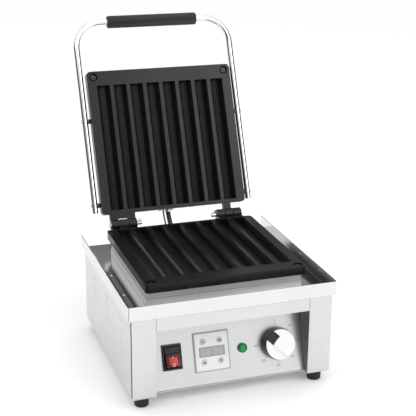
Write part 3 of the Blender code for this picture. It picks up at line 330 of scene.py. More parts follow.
# ------------------------------------------------------------------ mesh work
class Stock:
    """A bmesh being worked from a blank into a piece."""

    def __init__(self) -> None:
        """Start empty."""
        self.bm = bmesh.new()

    @classmethod
    def block(cls, low: Sequence[float], high: Sequence[float]) -> "Stock":
        """A box between two corners.

        Args:
            low: lower corner.
            high: upper corner.

        Returns:
            The box.
        """
        made = cls()
        bmesh.ops.create_cube(made.bm, size=1.0)
        low, high = Vector(low), Vector(high)
        bmesh.ops.scale(made.bm, vec=high - low, verts=made.bm.verts)
        bmesh.ops.translate(made.bm, vec=(low + high) / 2, verts=made.bm.verts)
        return made

    @classmethod
    def plate(cls, outline: Sequence[Point], low: float, high: float) -> "Stock":
        """A flat outline in X and Y with thickness along Z.

        Args:
            outline: its points.
            low: lower face.
            high: upper face.

        Returns:
            The plate.
        """
        made = cls()
        ring = [made.bm.verts.new((u, v, low)) for u, v in outline]
        face = made.bm.faces.new(ring)
        grown = bmesh.ops.extrude_face_region(made.bm, geom=[face])["geom"]
        bmesh.ops.translate(made.bm, vec=(0, 0, high - low),
                            verts=[item for item in grown if isinstance(item, bmesh.types.BMVert)])
        return made.outward()

    @classmethod
    def turned(cls, profile: Sequence[Point], steps: int = 32) -> "Stock":
        """A profile of (radius, height) points spun round Z.

        Args:
            profile: the points.
            steps: segments of the turn.

        Returns:
            The turned stock.
        """
        made = cls()
        verts = [made.bm.verts.new((radius, 0.0, height)) for radius, height in profile]
        edges = [made.bm.edges.new(pair) for pair in zip(verts, verts[1:])]
        bmesh.ops.spin(made.bm, geom=verts + edges, cent=(0, 0, 0), axis=(0, 0, 1), angle=2 * math.pi, steps=steps,
                       use_merge=True, use_duplicate=False)
        bmesh.ops.remove_doubles(made.bm, verts=made.bm.verts, dist=1e-6)
        return made.outward()

    @classmethod
    def swept(cls, section: Sequence[Point], route: Sequence[Vector], upright: Vector,
              caps: bool = True) -> "Stock":
        """A section carried along a route.

        Args:
            section: outline across the route, as (side, up) points.
            route: points of the route.
            upright: direction that the section's up leans to.
            caps: whether the ends are filled.

        Returns:
            The swept stock.
        """
        made = cls()
        verts = [made.bm.verts.new((u, v, 0.0)) for u, v in section]
        edges = [made.bm.edges.new(pair) for pair in zip(verts, verts[1:] + verts[:1])]
        last = Matrix.Identity(4)
        for number, point in enumerate(route):
            ahead = route[min(number + 1, len(route) - 1)] - route[max(number - 1, 0)]
            way = ahead.normalized()
            side = way.cross(upright).normalized()
            rise = side.cross(way)
            turn = Matrix((side, rise, way)).transposed().to_4x4()
            here = Matrix.Translation(point) @ turn
            if number:
                verts, edges = made.grown(edges)
            bmesh.ops.transform(made.bm, matrix=here @ last.inverted(), verts=verts)
            last = here
        return made.closed().outward() if caps else made

    @classmethod
    def of_node(cls, node: str) -> "Stock":
        """A merged copy of a CAD node.

        Args:
            node: its name.

        Returns:
            The copy, in the row frame.
        """
        made = cls()
        made.bm.from_mesh(frame["nodes"][node].data)
        bmesh.ops.remove_doubles(made.bm, verts=made.bm.verts, dist=2e-6)
        bmesh.ops.dissolve_limit(made.bm, angle_limit=math.radians(0.6), verts=made.bm.verts, edges=made.bm.edges,
                                 use_dissolve_boundaries=False)
        return made

    def grown(self, edges: list[bmesh.types.BMEdge]) -> tuple[list[bmesh.types.BMVert], list[bmesh.types.BMEdge]]:
        """Extrude a ring of edges in place.

        Args:
            edges: edges of the ring.

        Returns:
            Vertices and edges of the new ring.
        """
        made = bmesh.ops.extrude_edge_only(self.bm, edges=edges)["geom"]
        verts = [item for item in made if isinstance(item, bmesh.types.BMVert)]
        inside = set(verts)
        return verts, [item for item in made if isinstance(item, bmesh.types.BMEdge)
                       and item.verts[0] in inside and item.verts[1] in inside]

    def closed(self) -> "Stock":
        """Fill every open rim.

        Returns:
            This stock.
        """
        rim = [edge for edge in self.bm.edges if edge.is_boundary]
        bmesh.ops.holes_fill(self.bm, edges=rim, sides=0)
        return self

    def parted(self, place: Sequence[float], way: Sequence[float]) -> "Stock":
        """Cut through at a plane, drop what lies ahead of it and close the cut.

        Args:
            place: a point of the plane.
            way: direction of the side that is dropped.

        Returns:
            This stock.
        """
        bmesh.ops.bisect_plane(self.bm, geom=self.bm.verts[:] + self.bm.edges[:] + self.bm.faces[:],
                               plane_co=place, plane_no=way, clear_outer=True)
        return self.closed().outward()

    def outward(self) -> "Stock":
        """Turn every face outwards."""
        bmesh.ops.recalc_face_normals(self.bm, faces=self.bm.faces)
        return self

    def eased(self, width: float, segments: int = 2, over: float = 30.0) -> "Stock":
        """Round the edges that turn more than an angle.

        Args:
            width: size of the rounding.
            segments: faces across it.
            over: smallest turn that counts, in degrees.

        Returns:
            This stock.
        """
        limit = math.radians(over)
        edges = [edge for edge in self.bm.edges if len(edge.link_faces) == 2
                 and edge.calc_face_angle(0.0) > limit]
        if edges:
            bmesh.ops.bevel(self.bm, geom=edges, offset=width, offset_type="OFFSET", segments=segments,
                            profile=0.5, affect="EDGES", clamp_overlap=True, material=-1)
        return self

    def moved(self, matrix: Matrix) -> "Stock":
        """Carry the stock by a matrix."""
        bmesh.ops.transform(self.bm, matrix=matrix, verts=self.bm.verts)
        return self

    def joined(self, other: "Stock") -> "Stock":
        """Take another stock's solids into this one.

        Args:
            other: the stock, which is used up.

        Returns:
            This stock.
        """
        mesh = bpy.data.meshes.new("joining")
        other.bm.to_mesh(mesh)
        other.bm.free()
        self.bm.from_mesh(mesh)
        bpy.data.meshes.remove(mesh)
        return self

    def mesh(self, name: str) -> bpy.types.Mesh:
        """Write the stock to a mesh with smooth shading between sharp edges, and end it.

        Args:
            name: name of the mesh.

        Returns:
            The mesh.
        """
        mesh = bpy.data.meshes.new(name)
        self.bm.to_mesh(mesh)
        self.bm.free()
        mesh.shade_smooth()
        mesh.set_sharp_from_angle(angle=SHARP)
        return mesh


def ring(radius: float, sides: int) -> list[Point]:
    """Points of a circle, anticlockwise."""
    return [(radius * math.cos(2 * math.pi * k / sides), radius * math.sin(2 * math.pi * k / sides))
            for k in range(sides)]


def arc(centre: Point, radius: float, start: float, end: float, steps: int) -> list[Point]:
    """Points of an arc, with angles in degrees."""
    turns = [math.radians(start + (end - start) * step / steps) for step in range(steps + 1)]
    return [(centre[0] + radius * math.cos(t), centre[1] + radius * math.sin(t)) for t in turns]


def rounded(width: float, height: float, radius: float, steps: int = 4, centre: Point = (0.0, 0.0)) -> list[Point]:
    """A rectangle with round corners, anticlockwise.

    Args:
        width: size along the first axis.
        height: size along the second.
        radius: of its corners.
        steps: segments of a corner.
        centre: its middle.

    Returns:
        Points of the outline.
    """
    x, y = width / 2 - radius, height / 2 - radius
    points: list[Point] = []
    for sx, sy, start in ((1, 1, 0), (-1, 1, 90), (-1, -1, 180), (1, -1, 270)):
        points += arc((centre[0] + sx * x, centre[1] + sy * y), radius, start, start + 90, steps)
    return points


# ------------------------------------------------------------------ where things are
@dataclass
class Site:
    """Datums of the grill in the row frame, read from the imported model."""

    front: float = field(default_factory=lambda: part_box("drip_pan")[0].y)
    under: float = field(default_factory=lambda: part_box("base_plate")[0].z)

    def __post_init__(self) -> None:
        """Work out the lid's, the panel's and the knob's frames from the joints."""
        joints = {joint["name"]: joint for joint in frame["joints"]}
        hinge = joints["lid_hinge"]
        self.open_angle = math.radians(max(hinge["range_deg"]))
        self.hinge = Vector(hinge["pos_m"])
        self.lid = Matrix.Translation(self.hinge) @ Matrix.Rotation(-self.open_angle, 4, "X")
        dial = joints["thermostat_turn"]
        out = Vector(dial["axis"])
        self.tilt = math.atan2(out.z, -out.y)
        centre = Vector(dial["pos_m"])
        foot = centre.y - (centre.z - self.under) * math.tan(self.tilt)
        self.panel = Matrix.Translation((0.0, foot, self.under)) @ Matrix.Rotation(-self.tilt, 4, "X")
        local = self.panel.inverted() @ centre
        self.dial = (local.x, local.z)

    def at(self, x: float, y: float, z: float) -> Vector:
        """A place from the pan's front edge and the body's underside."""
        return Vector((x, self.front + y, self.under + z))

    def on_panel(self, x: float, up: float) -> Matrix:
        """Frame on the control panel: X to the right, Y up the slope and Z out of the panel."""
        stand = Matrix(((1, 0, 0, x), (0, 0, -1, 0), (0, 1, 0, up), (0, 0, 0, 1)))
        return self.panel @ stand


class Shop:
    """Makes finished pieces: one object each, dressed, riding on its body."""

    def __init__(self, site: Site) -> None:
        """Start with a site and no paints."""
        self.site = site
        self.paints: dict[str, bpy.types.Material] = {}

    def paint(self, finish: Finish) -> bpy.types.Material:
        """The material of a finish, made once."""
        if finish.name not in self.paints:
            self.paints[finish.name] = finish.paint()
        return self.paints[finish.name]

    def piece(self, name: str, stock: Stock, body: str, finish: Finish, slot: str,
              replaces: Iterable[str] = (), weighted: bool = False) -> bpy.types.Object:
        """Turn stock into a piece.

        Args:
            name: name of the piece.
            stock: its worked mesh, in the row frame.
            body: CAD body that it moves with.
            finish: its finish.
            slot: material slot of the record; not used.
            replaces: CAD nodes that it stands for.
            weighted: whether flat faces keep flat shading beside rounded edges.

        Returns:
            The new object.
        """
        obj = bpy.data.objects.new(name, stock.mesh(name))
        bpy.context.scene.collection.objects.link(obj)
        obj.data.materials.append(self.paint(finish))
        if weighted:
            normals = obj.modifiers.new("face_weighted_normals", "WEIGHTED_NORMAL")
            normals.keep_sharp = True
        if body:
            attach(obj, body)
        if replaces:
            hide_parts(*replaces)
        LOG.info("%s: %d faces on %s", name, len(obj.data.polygons), body or "two bodies")
        return obj

    def eased_copy(self, node: str, width: float, finish: Finish, slot: str,
                   segments: int = 2) -> bpy.types.Object:
        """A CAD node's shape with its edges rounded, in place of the node.

        Args:
            node: name of the node.
            width: size of the rounding.
            finish: its finish.
            slot: material slot of the record.
            segments: faces across the rounding.

        Returns:
            The new object.
        """
        body = frame["nodes"][node]["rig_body"]
        stock = Stock.of_node(node).eased(width, segments)
        return self.piece(f"{node}_eased", stock, body, finish, slot, [node], weighted=True)

    def dress(self, node: str, finish: Finish) -> None:
        """Give a shown CAD node a finish.

        Args:
            node: name of the node.
            finish: its finish.
        """
        mesh = frame["nodes"][node].data
        mesh.materials.clear()
        mesh.materials.append(self.paint(finish))
        LOG.info("%s: dressed", node)


# ------------------------------------------------------------------ finishes
SHEET_X = BrushedSteel("stainless_brushed_across")
SHEET_Y = BrushedSteel("stainless_brushed_along", grain=Grain.ALONG_Y)
PAN_SHEET = BrushedSteel("pan_sheet", (0.76, 0.76, 0.75), 0.13, Grain.ALONG_Y, 0.008)
# Support frame and element housing: stainless with its tone raised above the other sheets as painted light, so the
# area under the plate reads bright; its higher roughness is the duller sheet.
LIT_FRAME_SHEET = BrushedSteel("frame_sheet_painted_light", (0.86, 0.86, 0.85), 0.44)
# Pillar returns: the same stainless painted dark (0.30) as painted shade for the deep recess beside the control
# panel.
SHADED_RETURN_SHEET = BrushedSteel("return_painted_shade", (0.30, 0.30, 0.30), 0.20, Grain.ALONG_Z, 0.03)
LID_SHEET = BrushedSteel("lid_sheet", (0.70, 0.70, 0.69), 0.24, Grain.ALONG_X)
CHROME = PlainMetal("handle_chrome", (0.86, 0.86, 0.87), 0.07, 0.03, 300.0, 0.01)
BRIGHT = PlainMetal("bright_fastener", (0.74, 0.74, 0.73), 0.24)
CAP_SILVER = PlainMetal("knob_cap_silver", (0.92, 0.92, 0.92), 0.42, 0.05, 1200.0, 0.03)
COAT = CoatedCasting("nonstick_coat")
# Plate screws: near-black as painted shade, for screws sitting deep in their counterbores.
SCREW_SHADE_DARK = PlainMetal("screw_painted_shade", (0.05, 0.05, 0.052), 0.38)
BLACK = Moulding("black_moulding", (0.012, 0.012, 0.013), 0.34)
GRIP_BLACK = Moulding("grip_black", (0.014, 0.014, 0.015), 0.42, 0.16)
RUBBER = Moulding("foot_rubber", (0.012, 0.012, 0.012), 0.70, 0.30, 900.0)
WHITE = Moulding("timer_white", (0.86, 0.87, 0.87), 0.36, 0.05)
BORDER = Moulding("timer_border", (0.50, 0.51, 0.52), 0.40, 0.05)
KEY_GREY = Moulding("key_grey", (0.62, 0.63, 0.63), 0.40, 0.05)
DISPLAY = Moulding("display_window", (0.36, 0.38, 0.37), 0.22, 0.02)
PRINT_GREY = Moulding("print_grey", (0.20, 0.205, 0.205), 0.55, 0.02)
DIGIT_PALE = Moulding("digit_pale", (0.62, 0.63, 0.62), 0.50, 0.02)
PRINT_DARK = Moulding("print_dark", (0.035, 0.037, 0.038), 0.55, 0.02)
PRINT_WHITE = Moulding("print_white", (0.70, 0.70, 0.70), 0.50, 0.02)
RED = Moulding("rocker_red", (0.060, 0.004, 0.005), 0.20, 0.02)
RED_CORE = Moulding("rocker_red_core", (0.55, 0.018, 0.018), 0.30, 0.02, glow=0.22)
GREEN = Moulding("lamp_green", (0.004, 0.16, 0.05), 0.16, 0.02)
GREEN_CORE = Moulding("lamp_green_core", (0.012, 0.27, 0.085), 0.24, 0.02, glow=0.04)
WOOL = Moulding("ceramic_wool", (0.72, 0.70, 0.66), 0.95, 0.60, 500.0)
SLEEVE = Braid("conduit_braid", (0.012, 0.012, 0.012), (0.09, 0.09, 0.09), 0.3)
STRAP = Braid("earth_braid", (0.10, 0.10, 0.10), (0.40, 0.40, 0.39), 0.7, 2600.0)


# ------------------------------------------------------------------ sub-assemblies
@dataclass
class Body:
    """Sheet-metal case: panels, pillars, band, base, feet and their fasteners."""

    shop: Shop
    sheet: float = 1.2 * MM
    ease: float = 0.30 * MM
    hood_proud: float = 1.3 * MM
    hood_drop: float = 3.4 * MM
    hood_reach: float = 11.6 * MM
    louvre_middle: Point = (151.0 * MM, 78.4 * MM)
    louvre_pitch: Point = (79.0 * MM, 16.2 * MM)

    def build(self) -> None:
        """Make every piece of the case."""
        self.panels()
        self.louvres()
        self.feet()
        self.case_screws()

    def panels(self) -> None:
        """Side, rear, front and base sheets with eased edges."""
        shop = self.shop
        for node in ("left_front_pillar", "right_front_pillar"):
            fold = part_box(node)[0].y + self.sheet
            # The face gets the plain sheet; the return gets the dark painted-shade sheet.
            for label, finish, way in (("face", SHEET_X, 1), ("return", SHADED_RETURN_SHEET, -1)):
                stock = Stock.of_node(node).parted((0.0, fold, 0.0), (0.0, way, 0.0)).eased(self.ease, 2)
                shop.piece(f"{node}_{label}", stock, "base", finish, "stainless", [node], weighted=True)
        # support_frame and element_housing take the lighter painted-light frame sheet.
        for node, finish in (("front_band", SHEET_X), ("rear_panel", SHEET_X), ("base_plate", SHEET_X),
                             ("left_side_panel", SHEET_Y), ("right_side_panel", SHEET_Y),
                             ("support_frame", LIT_FRAME_SHEET), ("element_housing", LIT_FRAME_SHEET)):
            shop.eased_copy(node, self.ease, finish, "stainless")
        shop.dress("control_panel", SHEET_X)
        shop.eased_copy("cord_gland", 0.4 * MM, BLACK, "black_plastic")

    def louvres(self) -> None:
        """Pressed hoods over the slots of the side panels."""
        for side, sign in (("left", -1), ("right", 1)):
            node = f"{side}_side_panel"
            low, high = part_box(node)
            face = low.x if sign < 0 else high.x
            stock = Stock()
            for column in (-1, 0, 1):
                for row in (-1, 0, 1):
                    centre = self.shop.site.at(0.0, self.louvre_middle[0] + column * self.louvre_pitch[0],
                                               self.louvre_middle[1] + row * self.louvre_pitch[1])
                    stock.joined(self.hood(face, sign, centre.y, centre.z))
            self.shop.piece(f"{side}_louvre_hoods", stock, "base", SHEET_Y, "stainless")

    def hood(self, face: float, sign: int, y: float, z: float) -> Stock:
        """One hood: half of a flattened dome, open at its lower edge.

        Args:
            face: outer face of the panel.
            sign: -1 on the left, 1 on the right.
            y: its middle.
            z: its middle.

        Returns:
            The hood.
        """
        made = Stock()
        bmesh.ops.create_uvsphere(made.bm, u_segments=28, v_segments=14, radius=1.0)
        bmesh.ops.scale(made.bm, vec=(self.hood_proud, self.hood_reach, self.hood_drop), verts=made.bm.verts)
        for plane, way in (((0, 0, 0), (sign, 0, 0)), ((0, 0, -0.80 * self.hood_drop), (0, 0, 1))):
            bmesh.ops.bisect_plane(made.bm, geom=made.bm.verts[:] + made.bm.edges[:] + made.bm.faces[:],
                                   plane_co=plane, plane_no=way, clear_inner=True)
        bmesh.ops.solidify(made.bm, geom=made.bm.faces[:], thickness=0.5 * MM)
        made.outward()
        return made.moved(Matrix.Translation((face - sign * 0.2 * MM, y, z)))

    def feet(self) -> None:
        """Rubber feet with a moulded step, and the screw inside each sole."""
        for corner in ("left_front", "right_front", "left_rear", "right_rear"):
            node = f"{corner}_foot"
            low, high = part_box(node)
            middle = (low + high) / 2
            radius, height = (high.x - low.x) / 2, high.z - low.z
            profile = [(0.0, 2.2 * MM), (3.4 * MM, 2.2 * MM), (3.6 * MM, 0.6 * MM), (4.4 * MM, 0.0)]
            profile += arc((radius * 0.93 - 1.6 * MM, 1.6 * MM), 1.6 * MM, -90, 0, 4)
            profile += [(radius * 0.985, height * 0.72), (radius, height * 0.76), (radius, height - 0.5 * MM),
                        (radius - 0.5 * MM, height), (0.0, height)]
            stock = Stock.turned(profile, 36).moved(Matrix.Translation((middle.x, middle.y, low.z)))
            self.shop.piece(f"{corner}_rubber_foot", stock, "base", RUBBER, "rubber", [node])
            screw = Stock.turned([(0.0, 1.1 * MM), (1.6 * MM, 1.0 * MM), (2.9 * MM, 0.5 * MM), (3.0 * MM, 2.1 * MM),
                                  (0.0, 2.1 * MM)], 20)
            screw.moved(Matrix.Translation((middle.x, middle.y, low.z)))
            self.shop.piece(f"{corner}_foot_screw", screw, "base", BRIGHT, "bright_steel")

    def case_screws(self) -> None:
        """Pan-head screws of the rear panel and two rivets in the pan's floor."""
        site = self.shop.site
        low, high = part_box("rear_panel")
        stock = Stock()
        for x in (low.x + 9 * MM, 0.0, high.x - 9 * MM):
            for z in (low.z + 8 * MM, high.z - 8 * MM):
                head = pan_head(3.4 * MM, 1.8 * MM)
                stock.joined(head.moved(Matrix.Translation((x, high.y, z)) @ Matrix.Rotation(-math.pi / 2, 4, "X")))
        self.shop.piece("rear_panel_screws", stock, "base", BRIGHT, "bright_steel")
        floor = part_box("drip_pan")[0].z + self.sheet
        rivets = Stock()
        for x, y in ((-137.0 * MM, 92.0 * MM), (-137.0 * MM, 168.0 * MM), (137.0 * MM, 92.0 * MM),
                     (137.0 * MM, 168.0 * MM)):
            place = site.at(x, y, 0.0)
            rivets.joined(dome(2.1 * MM, 0.8 * MM).moved(Matrix.Translation((place.x, place.y, floor))))
        self.shop.piece("pan_rivets", rivets, "base", BRIGHT, "bright_steel")


def dome(radius: float, height: float) -> Stock:
    """A low domed head on a flat base.

    Args:
        radius: of the base.
        height: of the crown.

    Returns:
        The head, standing on Z = 0.
    """
    profile = [(0.0, -0.2 * MM), (radius, -0.2 * MM)]
    profile += [(radius * math.cos(t), height * math.sin(t)) for t in (0.0, 0.35, 0.75, 1.15)] + [(0.0, height)]
    return Stock.turned(profile, 20)


def pan_head(radius: float, height: float) -> Stock:
    """A screw's pan head with a cross recess.

    Args:
        radius: of the head.
        height: of the head.

    Returns:
        The head, standing on Z = 0.
    """
    stock = dome(radius, height)
    for turn in (0.0, math.pi / 2):
        slot = Stock.block((-radius * 0.55, -radius * 0.11, height * 0.55),
                           (radius * 0.55, radius * 0.11, height * 1.02))
        stock.joined(slot.moved(Matrix.Rotation(turn, 4, "Z")))
    return stock


@dataclass
class Pan:
    """Drip pan folded from one sheet, with rounded bends and slit corners."""

    shop: Shop
    sheet: float = 1.2 * MM
    bend: float = 1.6 * MM
    relief: float = 1.5 * MM

    def build(self) -> None:
        """Fold the pan."""
        low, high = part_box("drip_pan")
        stock = Stock()
        bm = stock.bm
        xs = (low.x, low.x + self.relief, high.x - self.relief, high.x)
        ys = (low.y, low.y + self.relief, high.y)
        grid = [[bm.verts.new((x, y, low.z)) for x in xs] for y in ys]
        for row in range(2):
            for column in range(3):
                if row or column == 1:
                    bm.faces.new((grid[row][column], grid[row][column + 1], grid[row + 1][column + 1],
                                  grid[row + 1][column]))
        bmesh.ops.delete(bm, geom=[v for v in bm.verts if not v.link_faces], context="VERTS")
        folds = [edge for edge in bm.edges if edge.is_boundary and self.carries_wall(edge, low, high)]
        ends = {tuple(sorted(tuple(round(c, 6) for c in v.co) for v in edge.verts)) for edge in folds}
        raised = bmesh.ops.extrude_edge_only(bm, edges=folds)["geom"]
        bmesh.ops.translate(bm, vec=(0, 0, high.z - low.z),
                            verts=[item for item in raised if isinstance(item, bmesh.types.BMVert)])
        bends = [edge for edge in bm.edges
                 if tuple(sorted(tuple(round(c, 6) for c in v.co) for v in edge.verts)) in ends]
        bmesh.ops.bevel(bm, geom=bends, offset=self.bend, offset_type="OFFSET", segments=4, profile=0.5,
                        affect="EDGES", clamp_overlap=False, material=-1)
        stock.outward()
        floor = max(bm.faces, key=lambda face: face.calc_area())
        if floor.normal.z > 0:
            bmesh.ops.reverse_faces(bm, faces=bm.faces[:])
        bmesh.ops.solidify(bm, geom=bm.faces[:], thickness=self.sheet)
        stock.outward().eased(0.22 * MM, 2, 60.0)
        self.shop.piece("drip_pan_folded", stock, "base", PAN_SHEET, "pan_steel", ["drip_pan"], weighted=True)

    def carries_wall(self, edge: bmesh.types.BMEdge, low: Vector, high: Vector) -> bool:
        """Whether a floor edge is at the left, right or front.

        Args:
            edge: an edge of the floor.
            low: lower corner of the pan.
            high: upper corner of the pan.

        Returns:
            True where a wall stands on it.
        """
        first, second = (vert.co for vert in edge.verts)
        side = any(abs(first.x - x) < 1e-6 and abs(second.x - x) < 1e-6 for x in (low.x, high.x))
        return side or (abs(first.y - low.y) < 1e-6 and abs(second.y - low.y) < 1e-6)


@dataclass
class Plates:
    """The two cast plates, their screws and the hinges between them."""

    shop: Shop
    ease: float = 0.55 * MM

    def build(self) -> None:
        """Make plates, screws, pins and cotters."""
        for node in ("lower_plate", "upper_plate"):
            self.shop.eased_copy(node, self.ease, COAT, "cast_black")
        # The plate screws are painted near-black as the shade of their deep counterbores.
        for node in ("lower_left_screw", "lower_right_screw", "upper_left_screw", "upper_right_screw"):
            self.shop.eased_copy(node, 0.25 * MM, SCREW_SHADE_DARK, "cast_black")
        for side in ("left", "right"):
            self.shop.eased_copy(f"{side}_hinge_pin", 0.35 * MM, BRIGHT, "bright_steel")
            self.shop.dress(f"{side}_cotter_pin", BRIGHT)
        for node in ("lower_heating_element", "upper_heating_element"):
            self.shop.dress(node, BRIGHT)
        for node in ("lower_insulation", "upper_insulation"):
            self.shop.dress(node, WOOL)
        self.shop.eased_copy("lid_cover", 0.5 * MM, LID_SHEET, "stainless")


@dataclass
class Handle:
    """Bow handle: tube with open ends, fluted grip, spacers and bolts."""

    shop: Shop
    radius: float = 5.0 * MM
    wall: float = 1.1 * MM
    leg_x: float = 130.2 * MM
    level: float = 10.35 * MM
    tail: float = 22.4 * MM
    reach: float = 331.3 * MM
    bend: float = 43.0 * MM
    grip_length: float = 152.0 * MM
    grip_radius: float = 10.0 * MM
    flutes: int = 28
    flute_depth: float = 0.75 * MM

    def route(self) -> list[Vector]:
        """Centre line of the tube in the shut lid's frame.

        Returns:
            Points of the centre line.
        """
        corner, turn = self.leg_x - self.bend, -self.reach + self.bend
        half = [Vector((self.leg_x, -self.tail, self.level)), Vector((self.leg_x, -self.tail - 40 * MM, self.level)),
                Vector((self.leg_x, turn + 20 * MM, self.level))]
        half += [Vector((x, y, self.level)) for x, y in arc((corner, turn), self.bend, 0, -90, 14)]
        return half + [Vector((-p.x, p.y, p.z)) for p in reversed(half)]

    def build(self) -> None:
        """Make the handle."""
        lid = self.shop.site.lid
        tube = Stock.swept(ring(self.radius, 24), self.route(), Vector((0, 0, 1)), caps=False)
        tube.outward()
        bmesh.ops.solidify(tube.bm, geom=tube.bm.faces[:], thickness=self.wall)
        tube.outward()
        self.shop.piece("handle_tube_open", tube.moved(lid), "lid", CHROME, "chrome", ["handle_tube"])
        self.grip()
        for side in ("left", "right"):
            for end in ("lower", "upper"):
                self.shop.eased_copy(f"{side}_{end}_spacer", 0.25 * MM, BLACK, "black_plastic")
                self.shop.eased_copy(f"{side}_{end}_bolt", 0.25 * MM, BRIGHT, "bright_steel")

    def grip(self) -> None:
        """Fluted grip with rolled ends."""
        count = self.flutes * 4
        half = self.grip_length / 2
        section = []
        for k in range(count):
            turn = 2 * math.pi * k / count
            lobe = 0.5 - 0.5 * math.cos(self.flutes * turn)
            radius = self.grip_radius - self.flute_depth * (1 - lobe) ** 2
            section.append((radius * math.cos(turn), radius * math.sin(turn)))
        stations = [(-half, 0.62), (-half + 0.3 * MM, 0.80), (-half + 1.2 * MM, 0.93), (-half + 3.0 * MM, 1.0),
                    (half - 3.0 * MM, 1.0), (half - 1.2 * MM, 0.93), (half - 0.3 * MM, 0.80), (half, 0.62)]
        made = Stock()
        verts = [made.bm.verts.new((0.0, u, v)) for u, v in section]
        edges = [made.bm.edges.new(pair) for pair in zip(verts, verts[1:] + verts[:1])]
        place, size = 0.0, 1.0
        for number, (x, scale) in enumerate(stations):
            if number:
                verts, edges = made.grown(edges)
            bmesh.ops.translate(made.bm, vec=(x - place, 0, 0), verts=verts)
            bmesh.ops.scale(made.bm, vec=(1, scale / size, scale / size), verts=verts)
            place, size = x, scale
        made.closed().outward().moved(self.shop.site.lid @ Matrix.Translation((0, -self.reach, self.level)))
        self.shop.piece("handle_grip_fluted", made, "lid", GRIP_BLACK, "black_plastic", ["handle_grip"])


@dataclass
class Conduit:
    """Braided conduit and earth strap over the hinge, with the gland and the clamp that hold them."""

    shop: Shop
    radius: float = 3.9 * MM
    x: float = -6.0 * MM

    def route(self, shift: Vector, bow: float) -> list[Vector]:
        """Curve from the pan's floor to the lid's clamp.

        Args:
            shift: offset of both ends.
            bow: how far the middle leans back.

        Returns:
            Points of the route in the row frame.
        """
        low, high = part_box("conduit_gland")
        clamp_low, clamp_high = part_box("conduit_clamp")
        start = Vector((self.x, (low.y + high.y) / 2, low.z + 3 * MM)) + shift
        end = Vector((self.x, (clamp_low.y + clamp_high.y) / 2 + 0.5 * MM, (clamp_low.z + clamp_high.z) / 2)) + shift
        rise = (end - start).length * 0.45
        arriving = (self.shop.site.lid.to_3x3() @ Vector((0, -1, 0))).normalized()
        knots = (start, start + Vector((0, bow, rise)), end - arriving * rise, end)
        points = []
        for step in range(25):
            t = step / 24
            weights = ((1 - t) ** 3, 3 * t * (1 - t) ** 2, 3 * t * t * (1 - t), t ** 3)
            points.append(sum((knot * w for knot, w in zip(knots, weights)), Vector()))
        return points

    def build(self) -> None:
        """Make conduit, strap, gland and clamp."""
        shop = self.shop
        route = self.route(Vector(), 0.0)
        sleeve = Stock.swept(ring(self.radius, 20), route, Vector((1, 0, 0)))
        obj = shop.piece("conduit_sleeve", sleeve, "", SLEEVE, "bright_steel")
        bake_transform(obj)
        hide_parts("conduit_lower", "conduit_upper")
        strap_route = self.route(Vector((-7.6 * MM, 1.0 * MM, 0.0)), 2.0 * MM)
        strap = Stock.swept(rounded(3.0 * MM, 1.1 * MM, 0.4 * MM, 2), strap_route, Vector((0, 1, 0)))
        tape = shop.piece("earth_strap", strap, "", STRAP, "bright_steel")
        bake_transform(tape)
        shop.eased_copy("conduit_gland", 0.3 * MM, BRIGHT, "chrome")
        shop.eased_copy("conduit_clamp", 0.3 * MM, CHROME, "chrome")
        low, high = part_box("conduit_clamp")
        bolts = Stock()
        face = self.shop.site.lid.inverted() @ ((low + high) / 2)
        for x in (low.x + 4.2 * MM, high.x - 4.2 * MM):
            head = Stock.plate(ring(3.2 * MM, 6), 0.0, 2.0 * MM).eased(0.25 * MM)
            turn = Matrix.Rotation(-math.pi / 2, 4, "X")
            bolts.joined(head.moved(self.shop.site.lid @ Matrix.Translation((x, -18.3 * MM, face.z)) @ turn))
        shop.piece("clamp_bolts", bolts, "lid", BRIGHT, "bright_steel")


